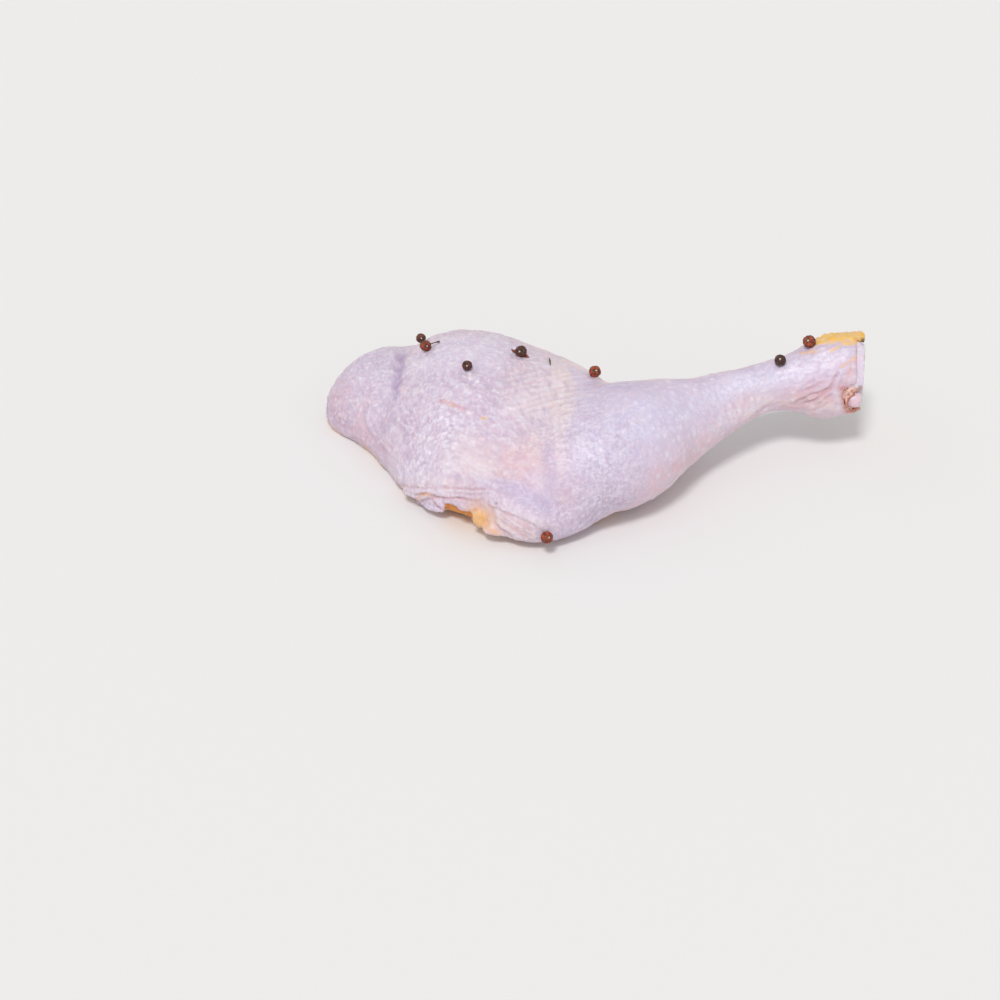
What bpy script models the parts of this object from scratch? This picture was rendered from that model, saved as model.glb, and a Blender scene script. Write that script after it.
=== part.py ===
# Raw chicken leg quarter, lying skin side up: thigh on the left, bent knee towards the front, drumstick running to the
# right, where the hock is cut through and the end of the shank bone shows.
# Metres, +Z up, +X from the thigh towards the hock. The origin is the middle of the footprint, on the surface it lies on.
import math

import bmesh
import bpy
from mathutils import Matrix, Vector

MM = 0.001

# ---- driving sizes, in millimetres -------------------------------------------------------------------------------------
ORIGIN = (-9.7, -15.8)          # middle of the footprint, in the sketch frame that the stations below use
VOXEL = 3.55                    # grid that fuses the muscles into one body under the skin
EASE = 6                        # rounds of smoothing of that body
TUCK = 4.0                      # how far the sections run below the surface before the flat underside is cut
HOCK_CUT = (97.4, 4.0, 30.6)   # a point of the cut through the hock
HOCK_TURN = 3.0                # the cut faces this far towards the front, degrees
GAP = 0.35                      # play between bone and flesh
BONE_PROUD = 0.8                # the cut bone stands this far out of the flesh

# Thigh sections: (x, front edge y, y of the top, back edge y, height of the widest line, height of the top)
THIGH = [
    (-118.2, 10.0, 15.0, 20.0, 4.5, 8.5),
    (-114.5, 3.5, 14.5, 28.0, 5.0, 14.0),
    (-105.0, -6.0, 13.0, 41.0, 5.0, 23.4),
    (-95.0, -21.5, 10.0, 47.5, 5.2, 29.4),
    (-84.5, -44.5, 5.0, 46.0, 5.8, 31.4),
    (-73.0, -55.5, -2.0, 46.5, 6.0, 41.0),
    (-60.0, -62.5, -7.0, 47.0, 6.0, 45.0),
    (-45.0, -75.0, -11.0, 42.0, 6.0, 45.2),
    (-33.0, -79.2, -14.5, 34.5, 6.0, 43.2),
    (-20.0, -75.5, -18.5, 26.0, 6.2, 40.8),
    (-7.0, -63.0, -23.0, 10.0, 8.0, 38.4),
    (2.0, -47.0, -26.0, -8.0, 12.0, 30.0),
]

# Drumstick from the knee to the hock: (x, y, z of the middle, half width, half height)
DRUMSTICK = [
    (-40.0, -52.0, 19.0, 16.0, 15.0),
    (-28.0, -49.0, 20.8, 24.5, 20.0),
    (-14.0, -43.8, 21.8, 27.5, 21.4),
    (2.0, -35.0, 22.6, 26.6, 23.0),
    (17.0, -24.8, 23.2, 19.8, 19.8),
    (32.0, -16.4, 24.6, 14.5, 14.6),
    (46.0, -9.4, 27.1, 11.4, 11.5),
    (59.0, -4.2, 29.3, 10.2, 10.3),
    (70.0, -2.0, 30.2, 12.0, 12.6),
    (81.0, 0.4, 30.9, 15.8, 16.8),
    (91.0, 3.2, 31.2, 16.4, 17.2),
    (99.0, 4.9, 31.0, 15.6, 16.0),
    (113.0, 7.0, 30.6, 14.4, 14.8),
]

# Folds pressed into the skin: (depth, half width, points x, y, z along the fold)
FOLDS = [
    (1.9, 5.0, [(-84.0, 30.0, 27.0), (-88.0, 10.0, 31.0), (-91.0, -8.0, 25.0), (-97.0, -16.0, 12.0)]),
    (1.8, 4.0, [(-84.0, -38.0, 12.0), (-66.0, -50.0, 14.0), (-50.0, -61.0, 15.0), (-38.0, -68.0, 13.0)]),
]

# Shank bone from inside the drumstick to the hock: (x, y, z of the middle, half thickness, half height, waist)
SHANK = [
    (4.0, -34.0, 23.4, 2.4, 2.7, 0.0),
    (7.0, -32.8, 23.7, 3.4, 3.8, 0.0),
    (30.0, -22.0, 25.6, 3.4, 3.9, 0.0),
    (60.0, -8.4, 28.6, 3.3, 3.8, 0.0),
    (78.0, -1.6, 30.2, 3.9, 4.8, 0.04),
    (88.0, 1.6, 30.7, 5.4, 8.2, 0.14),
    (96.0, 3.6, 30.7, 6.6, 11.0, 0.24),
    (103.0, 5.4, 30.6, 6.9, 11.8, 0.30),
    (114.0, 8.0, 30.4, 6.6, 11.4, 0.30),
]
BORE_END = (2.0, -34.8, 23.2, 3.6, 4.1, 0.0)    # the hollow in the flesh starts a little before the bone does
SHANK_ROLL = -24.0              # the two knuckles stand one over the other, the upper one leaning back by this much


def vec(x, y, z):
    return Vector(((x - ORIGIN[0]) * MM, (y - ORIGIN[1]) * MM, z * MM))


def between(stations, steps):
    """Catmull-Rom rows between the given rows."""
    rows = []
    last = len(stations) - 1
    for i in range(last):
        a, b, c, d = (stations[max(0, min(last, i + k))] for k in (-1, 0, 1, 2))
        for s in range(steps):
            t = s / steps
            rows.append([0.5 * (2 * q + (r - p) * t + (2 * p - 5 * q + 4 * r - w) * t * t + (3 * q - p - 3 * r + w) * t ** 3)
                         for p, q, r, w in zip(a, b, c, d)])
    rows.append(list(stations[-1]))
    return rows


def bridge(bm, rings):
    """Skin a run of rings into a closed body with flat ends."""
    rings = [[bm.verts.new(p) for p in ring] for ring in rings]
    for a, b in zip(rings, rings[1:]):
        for k in range(len(a)):
            n = (k + 1) % len(a)
            bm.faces.new((a[k], a[n], b[n], b[k]))
    bm.faces.new(rings[0][::-1])
    bm.faces.new(rings[-1])


def thigh_rings(around=56):
    """Sections that are domed above their widest line and tuck in below it."""
    rings = []
    for x, front, top_y, back, edge, top in between(THIGH, 4):
        ring = []
        for k in range(around):
            c, s = math.cos(2 * math.pi * k / around), math.sin(2 * math.pi * k / around)
            y = top_y + c * ((back - top_y) if c > 0 else (top_y - front))
            ring.append(vec(x, y, edge + s * ((top - edge) if s > 0 else edge + TUCK)))
        rings.append(ring)
    return rings


def limb_rings(stations, steps, around, grow=0.0, roll=0.0):
    """Sections square to the axis: ellipses, pinched to a figure of eight where a waist is given."""
    rows = between(stations, steps)
    centres = [vec(*r[:3]) for r in rows]
    rings = []
    for i, r in enumerate(rows):
        along = (centres[min(i + 1, len(rows) - 1)] - centres[max(i - 1, 0)]).normalized()
        turn = Matrix.Rotation(math.radians(roll), 3, along)
        side = turn @ along.cross(Vector((0, 0, 1))).normalized()
        rise = side.cross(along).normalized()
        waist = r[5] if len(r) > 5 else 0.0
        ring = []
        for k in range(around):
            c, s = math.cos(2 * math.pi * k / around), math.sin(2 * math.pi * k / around)
            u = (r[3] + grow) * c * (1.0 - waist * math.exp(-(s / 0.38) ** 2))
            ring.append(centres[i] + side * (u * MM) + rise * ((r[4] + grow) * s * MM))
        rings.append(ring)
    return rings


def obj_from(bm, name):
    bmesh.ops.recalc_face_normals(bm, faces=bm.faces)
    mesh = bpy.data.meshes.new(name)
    bm.to_mesh(mesh)
    bm.free()
    obj = bpy.data.objects.new(name, mesh)
    bpy.context.scene.collection.objects.link(obj)
    return obj


def material(name, colour, roughness):
    mat = bpy.data.materials.new(name)
    mat.use_nodes = True
    bsdf = mat.node_tree.nodes["Principled BSDF"]
    bsdf.inputs["Base Color"].default_value = (*colour, 1.0)
    bsdf.inputs["Roughness"].default_value = roughness
    bsdf.inputs["Metallic"].default_value = 0.0
    return mat


def bake(obj):
    """Keep the evaluated mesh and drop the modifiers that made it."""
    bpy.context.view_layer.update()
    mesh = bpy.data.meshes.new_from_object(obj.evaluated_get(bpy.context.evaluated_depsgraph_get()))
    obj.modifiers.clear()
    old = obj.data
    obj.data = mesh
    bpy.data.meshes.remove(old)
    mesh.name = obj.name


def to_path(p, path):
    """Distance from p to a run of straight legs, and how far along the run that is, from 0 to 1."""
    best, at = 1e9, 0.0
    for i, (a, b) in enumerate(zip(path, path[1:])):
        ab = b - a
        t = max(0.0, min(1.0, (p - a).dot(ab) / ab.length_squared))
        d = (p - a - ab * t).length
        if d < best:
            best, at = d, (i + t) / (len(path) - 1)
    return best, at


def press_folds(obj):
    paths = [(depth * MM, half * MM, [vec(*p) for p in between(points, 4)]) for depth, half, points in FOLDS]
    moves = []
    for v in obj.data.vertices:
        push = 0.0
        for depth, half, path in paths:
            d, at = to_path(v.co, path)
            push += depth * math.exp(-(d / half) ** 2) * math.sin(math.pi * min(1.0, 0.15 + at * 0.85)) ** 0.5
        moves.append(v.co - v.normal * push)
    for v, co in zip(obj.data.vertices, moves):
        v.co = co


def cutter(name, size, middle, turn=0.0):
    bm = bmesh.new()
    place = Matrix.Translation(middle) @ Matrix.Rotation(math.radians(turn), 4, "Z") @ Matrix.Diagonal((*size, 1.0))
    bmesh.ops.create_cube(bm, size=1.0, matrix=place)
    return hide(obj_from(bm, name))


def hide(obj):
    obj.hide_render = True
    obj.display_type = "WIRE"
    return obj


def cut(obj, tool):
    mod = obj.modifiers.new("cut_" + tool.name, "BOOLEAN")
    mod.operation = "DIFFERENCE"
    mod.solver = "EXACT"
    mod.object = tool


def hock_block(name, proud):
    """A block past the hock whose face is the cut, set out along it by proud."""
    turn = math.radians(HOCK_TURN)
    face = Vector((math.cos(turn), -math.sin(turn), 0.0))
    return cutter(name, (0.08, 0.16, 0.16), vec(*HOCK_CUT) + face * (0.04 + proud * MM), -HOCK_TURN)


def build():
    for o in list(bpy.data.objects):
        bpy.data.objects.remove(o)

    bm = bmesh.new()
    bridge(bm, thigh_rings())
    bridge(bm, limb_rings(DRUMSTICK, 4, 36))
    flesh = obj_from(bm, "leg_quarter")
    fuse = flesh.modifiers.new("fuse", "REMESH")
    fuse.mode = "VOXEL"
    fuse.voxel_size = VOXEL * MM
    ease = flesh.modifiers.new("ease", "SMOOTH")
    ease.factor = 0.5
    ease.iterations = EASE
    bake(flesh)
    press_folds(flesh)

    bm = bmesh.new()
    bridge(bm, limb_rings([BORE_END] + SHANK[1:], 2, 26, grow=GAP, roll=SHANK_ROLL))
    bore = hide(obj_from(bm, "bore"))
    cut(flesh, cutter("underside", (0.4, 0.3, 0.04), Vector((0.0, 0.0, -0.02))))
    cut(flesh, hock_block("hock_flesh", 0.0))
    cut(flesh, bore)
    flesh.data.materials.append(material("skin", (0.64, 0.51, 0.60), 0.32))

    bm = bmesh.new()
    bridge(bm, limb_rings(SHANK, 2, 26, roll=SHANK_ROLL))
    bone = obj_from(bm, "shank_bone")
    cut(bone, hock_block("hock_bone", BONE_PROUD))
    bone.data.materials.append(material("bone", (0.62, 0.20, 0.07), 0.4))

    for obj in (flesh, bone):
        obj.data.shade_smooth()
        obj.data.set_sharp_from_angle(angle=math.radians(50))
    return flesh, bone


build()
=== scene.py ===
import math

import bmesh
import bpy
import numpy as np
from mathutils import Matrix, Vector, kdtree
from mathutils.bvhtree import BVHTree


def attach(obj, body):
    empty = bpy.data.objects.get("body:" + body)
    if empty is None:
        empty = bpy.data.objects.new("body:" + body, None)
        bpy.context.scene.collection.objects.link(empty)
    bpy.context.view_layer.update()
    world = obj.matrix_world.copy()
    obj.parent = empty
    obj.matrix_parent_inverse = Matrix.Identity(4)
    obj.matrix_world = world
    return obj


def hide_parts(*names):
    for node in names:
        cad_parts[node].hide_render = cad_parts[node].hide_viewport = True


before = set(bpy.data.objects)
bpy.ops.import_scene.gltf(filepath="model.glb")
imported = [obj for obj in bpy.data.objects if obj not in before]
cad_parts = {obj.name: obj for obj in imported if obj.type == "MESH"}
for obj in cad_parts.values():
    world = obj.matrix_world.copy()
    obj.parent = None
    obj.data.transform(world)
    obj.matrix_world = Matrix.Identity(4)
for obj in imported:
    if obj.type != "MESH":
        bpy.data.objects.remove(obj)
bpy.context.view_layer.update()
MM = 0.001                      # every length below is in millimetres, meshes are scaled by this when they are made

# ---- the view, whose plane the features of the shown side are laid out on ---------------------------------------------
EYE = np.array([-36.76, -771.34, 514.47])
RIGHT = np.array([0.99998629, 0.00297501, 0.00430867])
UP = np.array([-0.00523596, 0.5681807, 0.82288716])
BACK = np.array([0.0, -0.82289844, 0.56818849])
FOCAL = 2328.2                  # sketch units; one unit is about 0.39 mm on the leg

# ---- sizes ------------------------------------------------------------------------------------------------------------
BASE_GRID = 1.7                 # grid of the smooth body
SKIN_GRID = 0.70                # grid of the fine skin
SKIN_THICK = 1.5                # wall of skin round the cut hock
HOCK = np.array([107.1, 19.8, 30.6])        # middle of the cut through the hock
TURN = math.radians(3.0)
ALONG = np.array([math.cos(TURN), -math.sin(TURN), 0.0])    # out of the cut
ACROSS = np.array([math.sin(TURN), math.cos(TURN), 0.0])    # over the cut, towards the back
RISE = np.array([0.0, 0.0, 1.0])
SLEEVE = -11.5                  # the skin is a free sleeve from here to the cut
# middle line of the drumstick from the knee to the hock
LIMB = np.array([(-30.3, -36.2, 19.0), (-18.3, -33.2, 20.8), (-4.3, -28.0, 21.8), (11.7, -19.2, 22.6), (26.7, -9.0, 23.2),
                 (41.7, -0.6, 24.6), (55.7, 6.4, 27.1), (68.7, 11.6, 29.3), (79.7, 13.8, 30.2), (90.7, 16.2, 30.9),
                 (100.7, 19.0, 31.2), (112.0, 21.0, 30.8)])


# ---- noise ------------------------------------------------------------------------------------------------------------
def hashed(ix, iy, iz, seed):
    h = (ix.astype(np.uint32) * np.uint32(374761393) + iy.astype(np.uint32) * np.uint32(668265263)
         + iz.astype(np.uint32) * np.uint32(2147483647) + np.uint32(seed * 974711 % 4294967291))
    h = (h ^ (h >> np.uint32(13))) * np.uint32(1274126177)
    h = (h ^ (h >> np.uint32(16))) * np.uint32(2246822519)
    return h ^ (h >> np.uint32(15))


def rand01(ix, iy, iz, seed):
    return hashed(ix, iy, iz, seed).astype(np.float64) / 4294967295.0


def noise(p, seed=0):
    """Gradient noise, about -1 to 1, at the points p."""
    cell = np.floor(p).astype(np.int64)
    f = p - cell
    w = f * f * f * (f * (f * 6 - 15) + 10)
    total = np.zeros(len(p))
    for dx in (0, 1):
        for dy in (0, 1):
            for dz in (0, 1):
                ix, iy, iz = cell[:, 0] + dx, cell[:, 1] + dy, cell[:, 2] + dz
                a = rand01(ix, iy, iz, seed) * 2 * math.pi
                z = rand01(ix, iy, iz, seed + 51) * 2 - 1
                r = np.sqrt(1 - z * z)
                g = r * np.cos(a) * (f[:, 0] - dx) + r * np.sin(a) * (f[:, 1] - dy) + z * (f[:, 2] - dz)
                total += (g * (w[:, 0] if dx else 1 - w[:, 0]) * (w[:, 1] if dy else 1 - w[:, 1])
                          * (w[:, 2] if dz else 1 - w[:, 2]))
    return total * 1.5


def cells(p, seed=0):
    """Distance to the nearest and to the second nearest of scattered points, one to a unit cell."""
    cell = np.floor(p).astype(np.int64)
    near = np.full(len(p), 9.0)
    second = np.full(len(p), 9.0)
    for dx in (-1, 0, 1):
        for dy in (-1, 0, 1):
            for dz in (-1, 0, 1):
                ix, iy, iz = cell[:, 0] + dx, cell[:, 1] + dy, cell[:, 2] + dz
                q = np.stack([ix + rand01(ix, iy, iz, seed), iy + rand01(ix, iy, iz, seed + 1),
                              iz + rand01(ix, iy, iz, seed + 2)], 1)
                d = np.linalg.norm(p - q, axis=1)
                second = np.minimum(second, np.maximum(near, d))
                near = np.minimum(near, d)
    return near, second


def stretched(p, along, across_size, along_size):
    """Points scaled for a noise that is drawn out along a direction, which may change from point to point."""
    d = np.broadcast_to(np.asarray(along, float), p.shape)
    d = d / np.linalg.norm(d, axis=1)[:, None]
    t = np.sum(p * d, axis=1)[:, None]
    return (p - t * d) / across_size + t * d / along_size


def ridged(p, seed=0, sharp=3.0):
    """1 on thin wandering lines, 0 between them."""
    return np.clip(1 - np.abs(noise(p, seed)) * sharp, 0, 1) ** 1.5


def smooth(a, b, x):
    t = np.clip((x - a) / (b - a), 0, 1)
    return t * t * (3 - 2 * t)


def bell(x, middle, half):
    return np.exp(-((x - middle) / half) ** 2)


# ---- sketch plane -----------------------------------------------------------------------------------------------------
def sketch(co):
    q = co - EYE
    depth = -(q @ BACK)
    return np.stack([500 + FOCAL * (q @ RIGHT) / depth, 500 - FOCAL * (q @ UP) / depth], 1)


def patch(s, x, y, rx, ry=None, turn=0.0, power=2.0):
    """Soft patch on the sketch plane: 1 in the middle, 0 outside."""
    ry = ry or rx
    c, n = math.cos(math.radians(turn)), math.sin(math.radians(turn))
    dx, dy = s[:, 0] - x, s[:, 1] - y
    u, v = dx * c + dy * n, -dx * n + dy * c
    return np.exp(-(((u / rx) ** 2 + (v / ry) ** 2) ** (power / 2)))


def curve(points, step=3.0):
    """Catmull-Rom points through the given ones, about step apart."""
    p = np.array(points, float)
    q = np.vstack([2 * p[0] - p[1], p, 2 * p[-1] - p[-2]])
    out = []
    for i in range(1, len(q) - 2):
        n = max(2, int(np.linalg.norm(q[i + 1] - q[i]) / step))
        for k in range(n):
            t = k / n
            out.append(0.5 * (2 * q[i] + (q[i + 1] - q[i - 1]) * t
                              + (2 * q[i - 1] - 5 * q[i] + 4 * q[i + 1] - q[i + 2]) * t * t
                              + (3 * q[i] - q[i - 1] - 3 * q[i + 1] + q[i + 2]) * t ** 3))
    out.append(p[-1])
    return np.array(out)


def to_line(s, points, step=3.0):
    """Distance of points to a smooth line and how far along it they are. On the sketch plane the distance is positive
    below a line that runs to the right."""
    line = curve(points, step)
    flat = line.shape[1] == 2
    best = np.full(len(s), 1e9)
    side = np.ones(len(s))
    at = np.zeros(len(s))
    steps = np.linalg.norm(np.diff(line, axis=0), axis=1)
    run = np.concatenate([[0], np.cumsum(steps)])
    for i in range(len(line) - 1):
        a, ab = line[i], line[i + 1] - line[i]
        ap = s - a
        t = np.clip((ap @ ab) / (ab @ ab), 0, 1)
        off = ap - t[:, None] * ab
        d = np.linalg.norm(off, axis=1)
        hit = d < best
        best[hit] = d[hit]
        if flat:
            side[hit] = np.where(ab[0] * off[hit, 1] - ab[1] * off[hit, 0] < 0, -1, 1)
        at[hit] = (run[i] + t[hit] * steps[i]) / run[-1]
    return best * side, at


def taper(at, start=0.15, end=0.15):
    """1 along a line, easing to 0 at its ends."""
    lo = 1.0 if start <= 0 else smooth(0, start, at)
    hi = 1.0 if end <= 0 else smooth(0, end, 1 - at)
    return lo * hi


# ---- meshes -----------------------------------------------------------------------------------------------------------
def new_object(name, mesh):
    obj = bpy.data.objects.new(name, mesh)
    bpy.context.scene.collection.objects.link(obj)
    return obj


def evaluated(obj):
    """The object's mesh with its modifiers applied; the object goes."""
    bpy.context.view_layer.update()
    mesh = bpy.data.meshes.new_from_object(obj.evaluated_get(bpy.context.evaluated_depsgraph_get()))
    bpy.data.objects.remove(obj)
    return mesh


def remeshed(mesh, grid):
    obj = new_object("work", mesh)
    mod = obj.modifiers.new("remesh", "REMESH")
    mod.mode = "VOXEL"
    mod.voxel_size = grid * MM
    mod.adaptivity = 0.0
    return evaluated(obj)


def coords(mesh):
    co = np.empty(len(mesh.vertices) * 3)
    mesh.vertices.foreach_get("co", co)
    return co.reshape(-1, 3) / MM


def set_coords(mesh, co):
    mesh.vertices.foreach_set("co", (co * MM).ravel())
    mesh.update()


def normals(mesh):
    n = np.empty(len(mesh.vertices) * 3)
    mesh.vertex_normals.foreach_get("vector", n)
    return n.reshape(-1, 3)


def neighbours(mesh):
    e = np.empty(len(mesh.edges) * 2, np.int32)
    mesh.edges.foreach_get("vertices", e)
    e = e.reshape(-1, 2)
    count = np.bincount(e.ravel(), minlength=len(mesh.vertices)).astype(float)
    count[count == 0] = 1
    return e, count


def mean_of(value, e, count):
    n = len(count)
    if value.ndim == 1:
        return (np.bincount(e[:, 0], value[e[:, 1]], n) + np.bincount(e[:, 1], value[e[:, 0]], n)) / count
    return np.stack([mean_of(value[:, k], e, count) for k in range(value.shape[1])], 1)


def relax(mesh, co, rounds, free=1.0, gain=0.5, back=-0.52):
    """Taubin smoothing: takes out steps and facets and keeps the volume. free is 0 where points stay."""
    e, count = neighbours(mesh)
    free = np.broadcast_to(np.asarray(free, float), (len(co),))[:, None]
    for _ in range(rounds):
        for step in (gain, back):
            co = co + step * free * (mean_of(co, e, count) - co)
    return co


def blurred(mesh, value, rounds):
    e, count = neighbours(mesh)
    for _ in range(rounds):
        value = 0.5 * value + 0.5 * mean_of(value, e, count)
    return value


def put(mesh, name, value):
    attr = mesh.attributes.new(name, "FLOAT", "POINT")
    attr.data.foreach_set("value", np.clip(value, 0, 1).astype(np.float32))


def tree_of(mesh):
    """Ray and distance tree of a mesh, in millimetres."""
    return BVHTree.FromPolygons(coords(mesh).tolist(), [list(p.vertices) for p in mesh.polygons])


def joined(meshes):
    bm = bmesh.new()
    for m in meshes:
        bm.from_mesh(m)
    mesh = bpy.data.meshes.new("joined")
    bm.to_mesh(mesh)
    bm.free()
    return mesh


def shade(mesh):
    mesh.polygons.foreach_set("use_smooth", np.ones(len(mesh.polygons), bool))
    mesh.update()


def nets(name, field, lo, hi, step):
    """Closed surface where field(points) is 0 and below 0 inside, on a grid over the box from lo to hi."""
    lo = np.array(lo, float)
    n = np.ceil((np.array(hi) - lo) / step).astype(int) + 1
    grid = np.stack(np.meshgrid(*[lo[k] + step * np.arange(n[k]) for k in range(3)], indexing="ij"), -1)
    v = field(grid.reshape(-1, 3)).reshape(n)
    number = np.arange(n.prod()).reshape(n)
    size = number.size
    total, count = np.zeros((size, 3)), np.zeros(size)
    quads = []
    for a in range(3):
        b, c = (a + 1) % 3, (a + 2) % 3
        v0 = np.take(v, range(0, n[a] - 1), a)
        v1 = np.take(v, range(1, n[a]), a)
        at = np.argwhere((v0 < 0) != (v1 < 0))
        at = at[(at[:, b] > 0) & (at[:, c] > 0)]
        f0, f1 = v0[tuple(at.T)], v1[tuple(at.T)]
        p = at.astype(float)
        p[:, a] += f0 / (f0 - f1)
        eb, ec = np.zeros(3, int), np.zeros(3, int)
        eb[b] = ec[c] = 1
        corner = [number[tuple((at - s).T)] for s in (0 * eb, eb, eb + ec, ec)]
        for k in corner:
            count += np.bincount(k, minlength=size)
            for j in range(3):
                total[:, j] += np.bincount(k, p[:, j], size)
        q = np.stack(corner, 1)
        quads.append(np.where((f0 < 0)[:, None], q, q[:, ::-1]))
    used = np.flatnonzero(count)
    where = np.full(size, -1)
    where[used] = np.arange(len(used))
    points = lo + step * total[used] / count[used][:, None]
    faces = where[np.vstack(quads)]
    mesh = bpy.data.meshes.new(name)
    mesh.from_pydata((points * MM).tolist(), [], faces.tolist())
    mesh.update()
    return mesh


# ---- rounded shapes as distance fields --------------------------------------------------------------------------------
def rope(p, points, radii):
    """Distance to a round rope through the points, whose radius changes along it."""
    best = np.full(len(p), 1e9)
    for a, b, ra, rb in zip(points[:-1], points[1:], radii[:-1], radii[1:]):
        ab = b - a
        t = np.clip(((p - a) @ ab) / (ab @ ab), 0, 1)
        best = np.minimum(best, np.linalg.norm(p - a - t[:, None] * ab, axis=1) - (ra + (rb - ra) * t))
    return best


def melt(a, b, k):
    """Union with a soft joint."""
    h = np.clip(0.5 + 0.5 * (b - a) / k, 0, 1)
    return b + (a - b) * h - k * h * (1 - h)


def carve(a, b, k):
    """Both a and b, with a soft edge between them."""
    return -melt(-a, -b, k)


# ---- the body under the skin ------------------------------------------------------------------------------------------
def solid_leg():
    """The frame's flesh with the hollow for the bone filled in."""
    bone = BVHTree.FromPolygons([v.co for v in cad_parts["shank_bone"].data.vertices],
                                [list(p.vertices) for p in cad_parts["shank_bone"].data.polygons])
    bm = bmesh.new()
    bm.from_mesh(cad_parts["leg_quarter"].data)
    bmesh.ops.remove_doubles(bm, verts=bm.verts, dist=1e-6)
    hollow = []
    for f in bm.faces:
        hit = bone.find_nearest(f.calc_center_median())
        if hit[0] is not None and hit[3] < 0.9 * MM and f.normal.x < 0.9:
            hollow.append(f)
    bmesh.ops.delete(bm, geom=hollow, context="FACES")
    left = set(bm.faces)
    islands = []
    while left:
        stack = [left.pop()]
        island = list(stack)
        while stack:
            for e in stack.pop().edges:
                for g in e.link_faces:
                    if g in left:
                        left.remove(g)
                        island.append(g)
                        stack.append(g)
        islands.append(island)
    islands.sort(key=len)
    for island in islands[:-1]:
        bmesh.ops.delete(bm, geom=island, context="FACES")
    bmesh.ops.triangle_fill(bm, edges=[e for e in bm.edges if e.is_boundary], use_beauty=True)
    bmesh.ops.recalc_face_normals(bm, faces=bm.faces)
    mesh = bpy.data.meshes.new("solid")
    bm.to_mesh(mesh)
    bm.free()
    return mesh


def smooth_body():
    """The body with the facets of the solid eased out."""
    mesh = remeshed(solid_leg(), BASE_GRID)
    co = relax(mesh, coords(mesh), 12)
    co[:, 2] = np.maximum(co[:, 2], 0.0)
    set_coords(mesh, co)
    obj = new_object("work", mesh)
    sub = obj.modifiers.new("sub", "SUBSURF")
    sub.levels = sub.render_levels = 1
    return evaluated(obj)


body = smooth_body()
body_tree = tree_of(body)


def on_skin(x, y, out=0.0):
    """The place on the body that the sketch point shows, moved outwards."""
    d = RIGHT * (x - 500) / FOCAL - UP * (y - 500) / FOCAL - BACK
    hit, normal, _, _ = body_tree.ray_cast(Vector(EYE), Vector(d / np.linalg.norm(d)))
    if hit is None:
        return None, None
    return np.array(hit) + out * np.array(normal), np.array(normal)


def by_skin(x, y, out=0.0):
    """The same, but beside the body it is the place on the line of sight that comes nearest to it."""
    p, _ = on_skin(x, y, out)
    if p is None:
        d = RIGHT * (x - 500) / FOCAL - UP * (y - 500) / FOCAL - BACK
        sight = [EYE + d / np.linalg.norm(d) * t for t in np.arange(820.0, 1000.0, 1.0)]
        p = min(sight, key=lambda v: body_tree.find_nearest(Vector(v))[3])
        p[2] = max(p[2], 1.0)
    return p


# ---- the hock ---------------------------------------------------------------------------------------------------------
def to_hock(p):
    q = p - HOCK
    return np.stack([q @ ACROSS, q @ RISE, q @ ALONG], 1)


def from_hock(q):
    q = np.atleast_2d(np.array(q, float))
    return HOCK + q[:, :1] * ACROSS + q[:, 1:2] * RISE + q[:, 2:] * ALONG


LOOK = np.array([-0.823, 0.568])        # over the cut: towards the viewer
DOWN = np.array([-0.568, -0.823])       # over the cut: down on the sketch plane


def round_angle(q):
    """Degrees round the hock: 0 faces the viewer, 90 is its lower outline, -90 its upper one."""
    return np.degrees(np.arctan2(q[:, :2] @ DOWN, q[:, :2] @ LOOK))


ROUND = 72
WALL = np.arange(-15.0, 0.1, 1.0)
wall_radius = np.zeros((len(WALL), ROUND))
for i, w in enumerate(WALL):
    start = HOCK + ALONG * min(w, -0.9)
    for k in range(ROUND):
        a = 2 * math.pi * k / ROUND
        d = ACROSS * math.cos(a) + RISE * math.sin(a)
        hit = body_tree.ray_cast(Vector(start), Vector(d))[3]
        wall_radius[i, k] = hit if hit is not None else 15.0


def radius_at(q):
    """Radius of the hock's skin at points given over and along the cut."""
    a = np.arctan2(q[:, 1], q[:, 0]) / (2 * math.pi) * ROUND
    k = np.floor(a).astype(int)
    fa = a - k
    r = np.clip(q[:, 2] - WALL[0], 0, len(WALL) - 1.001)
    i = np.floor(r).astype(int)
    fr = r - i
    k0, k1 = k % ROUND, (k + 1) % ROUND
    return ((wall_radius[i, k0] * (1 - fa) + wall_radius[i, k1] * fa) * (1 - fr)
            + (wall_radius[i + 1, k0] * (1 - fa) + wall_radius[i + 1, k1] * fa) * fr)


def torn_back(a):
    """How far the skin is torn back over the knob, by angle round the hock."""
    return np.interp(a, (13, 19, 25, 34, 47, 68, 78, 88), (0, 4.0, 8.7, 8.9, 7.7, 6.1, 3.5, 0))


def skin_rim(q):
    """How far along the skin reaches: cut back over a band of cartilage on the near side, torn open over a knob below."""
    a = round_angle(q)
    far = 0.4 * noise(np.stack([a / 16, a * 0, a * 0 + 3.3], 1), 4) + 0.3 * noise(np.stack([a / 5, a * 0, a * 0], 1), 5)
    over = smooth(-58, -50, a) * (1 - smooth(18, 26, a))
    return far - np.maximum(3.7 * over, torn_back(a))


def top_side(a):
    """1 over the top of the hock, where the skin is thick and yellow, 0 round the rest."""
    return smooth(-158, -128, a) * (1 - smooth(-56, -40, a))


def sleeve_field(p):
    q = to_hock(p)
    rho = np.hypot(q[:, 0], q[:, 1])
    out = radius_at(q)
    thick = SKIN_THICK + 1.1 * top_side(round_angle(q)) + 0.25 * noise(p / 3.0, 6)
    wall = carve(rho - out, out - thick - rho, 0.3)
    return carve(carve(wall, q[:, 2] - skin_rim(q), 0.7), SLEEVE - 3.0 - q[:, 2], 0.2)


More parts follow.
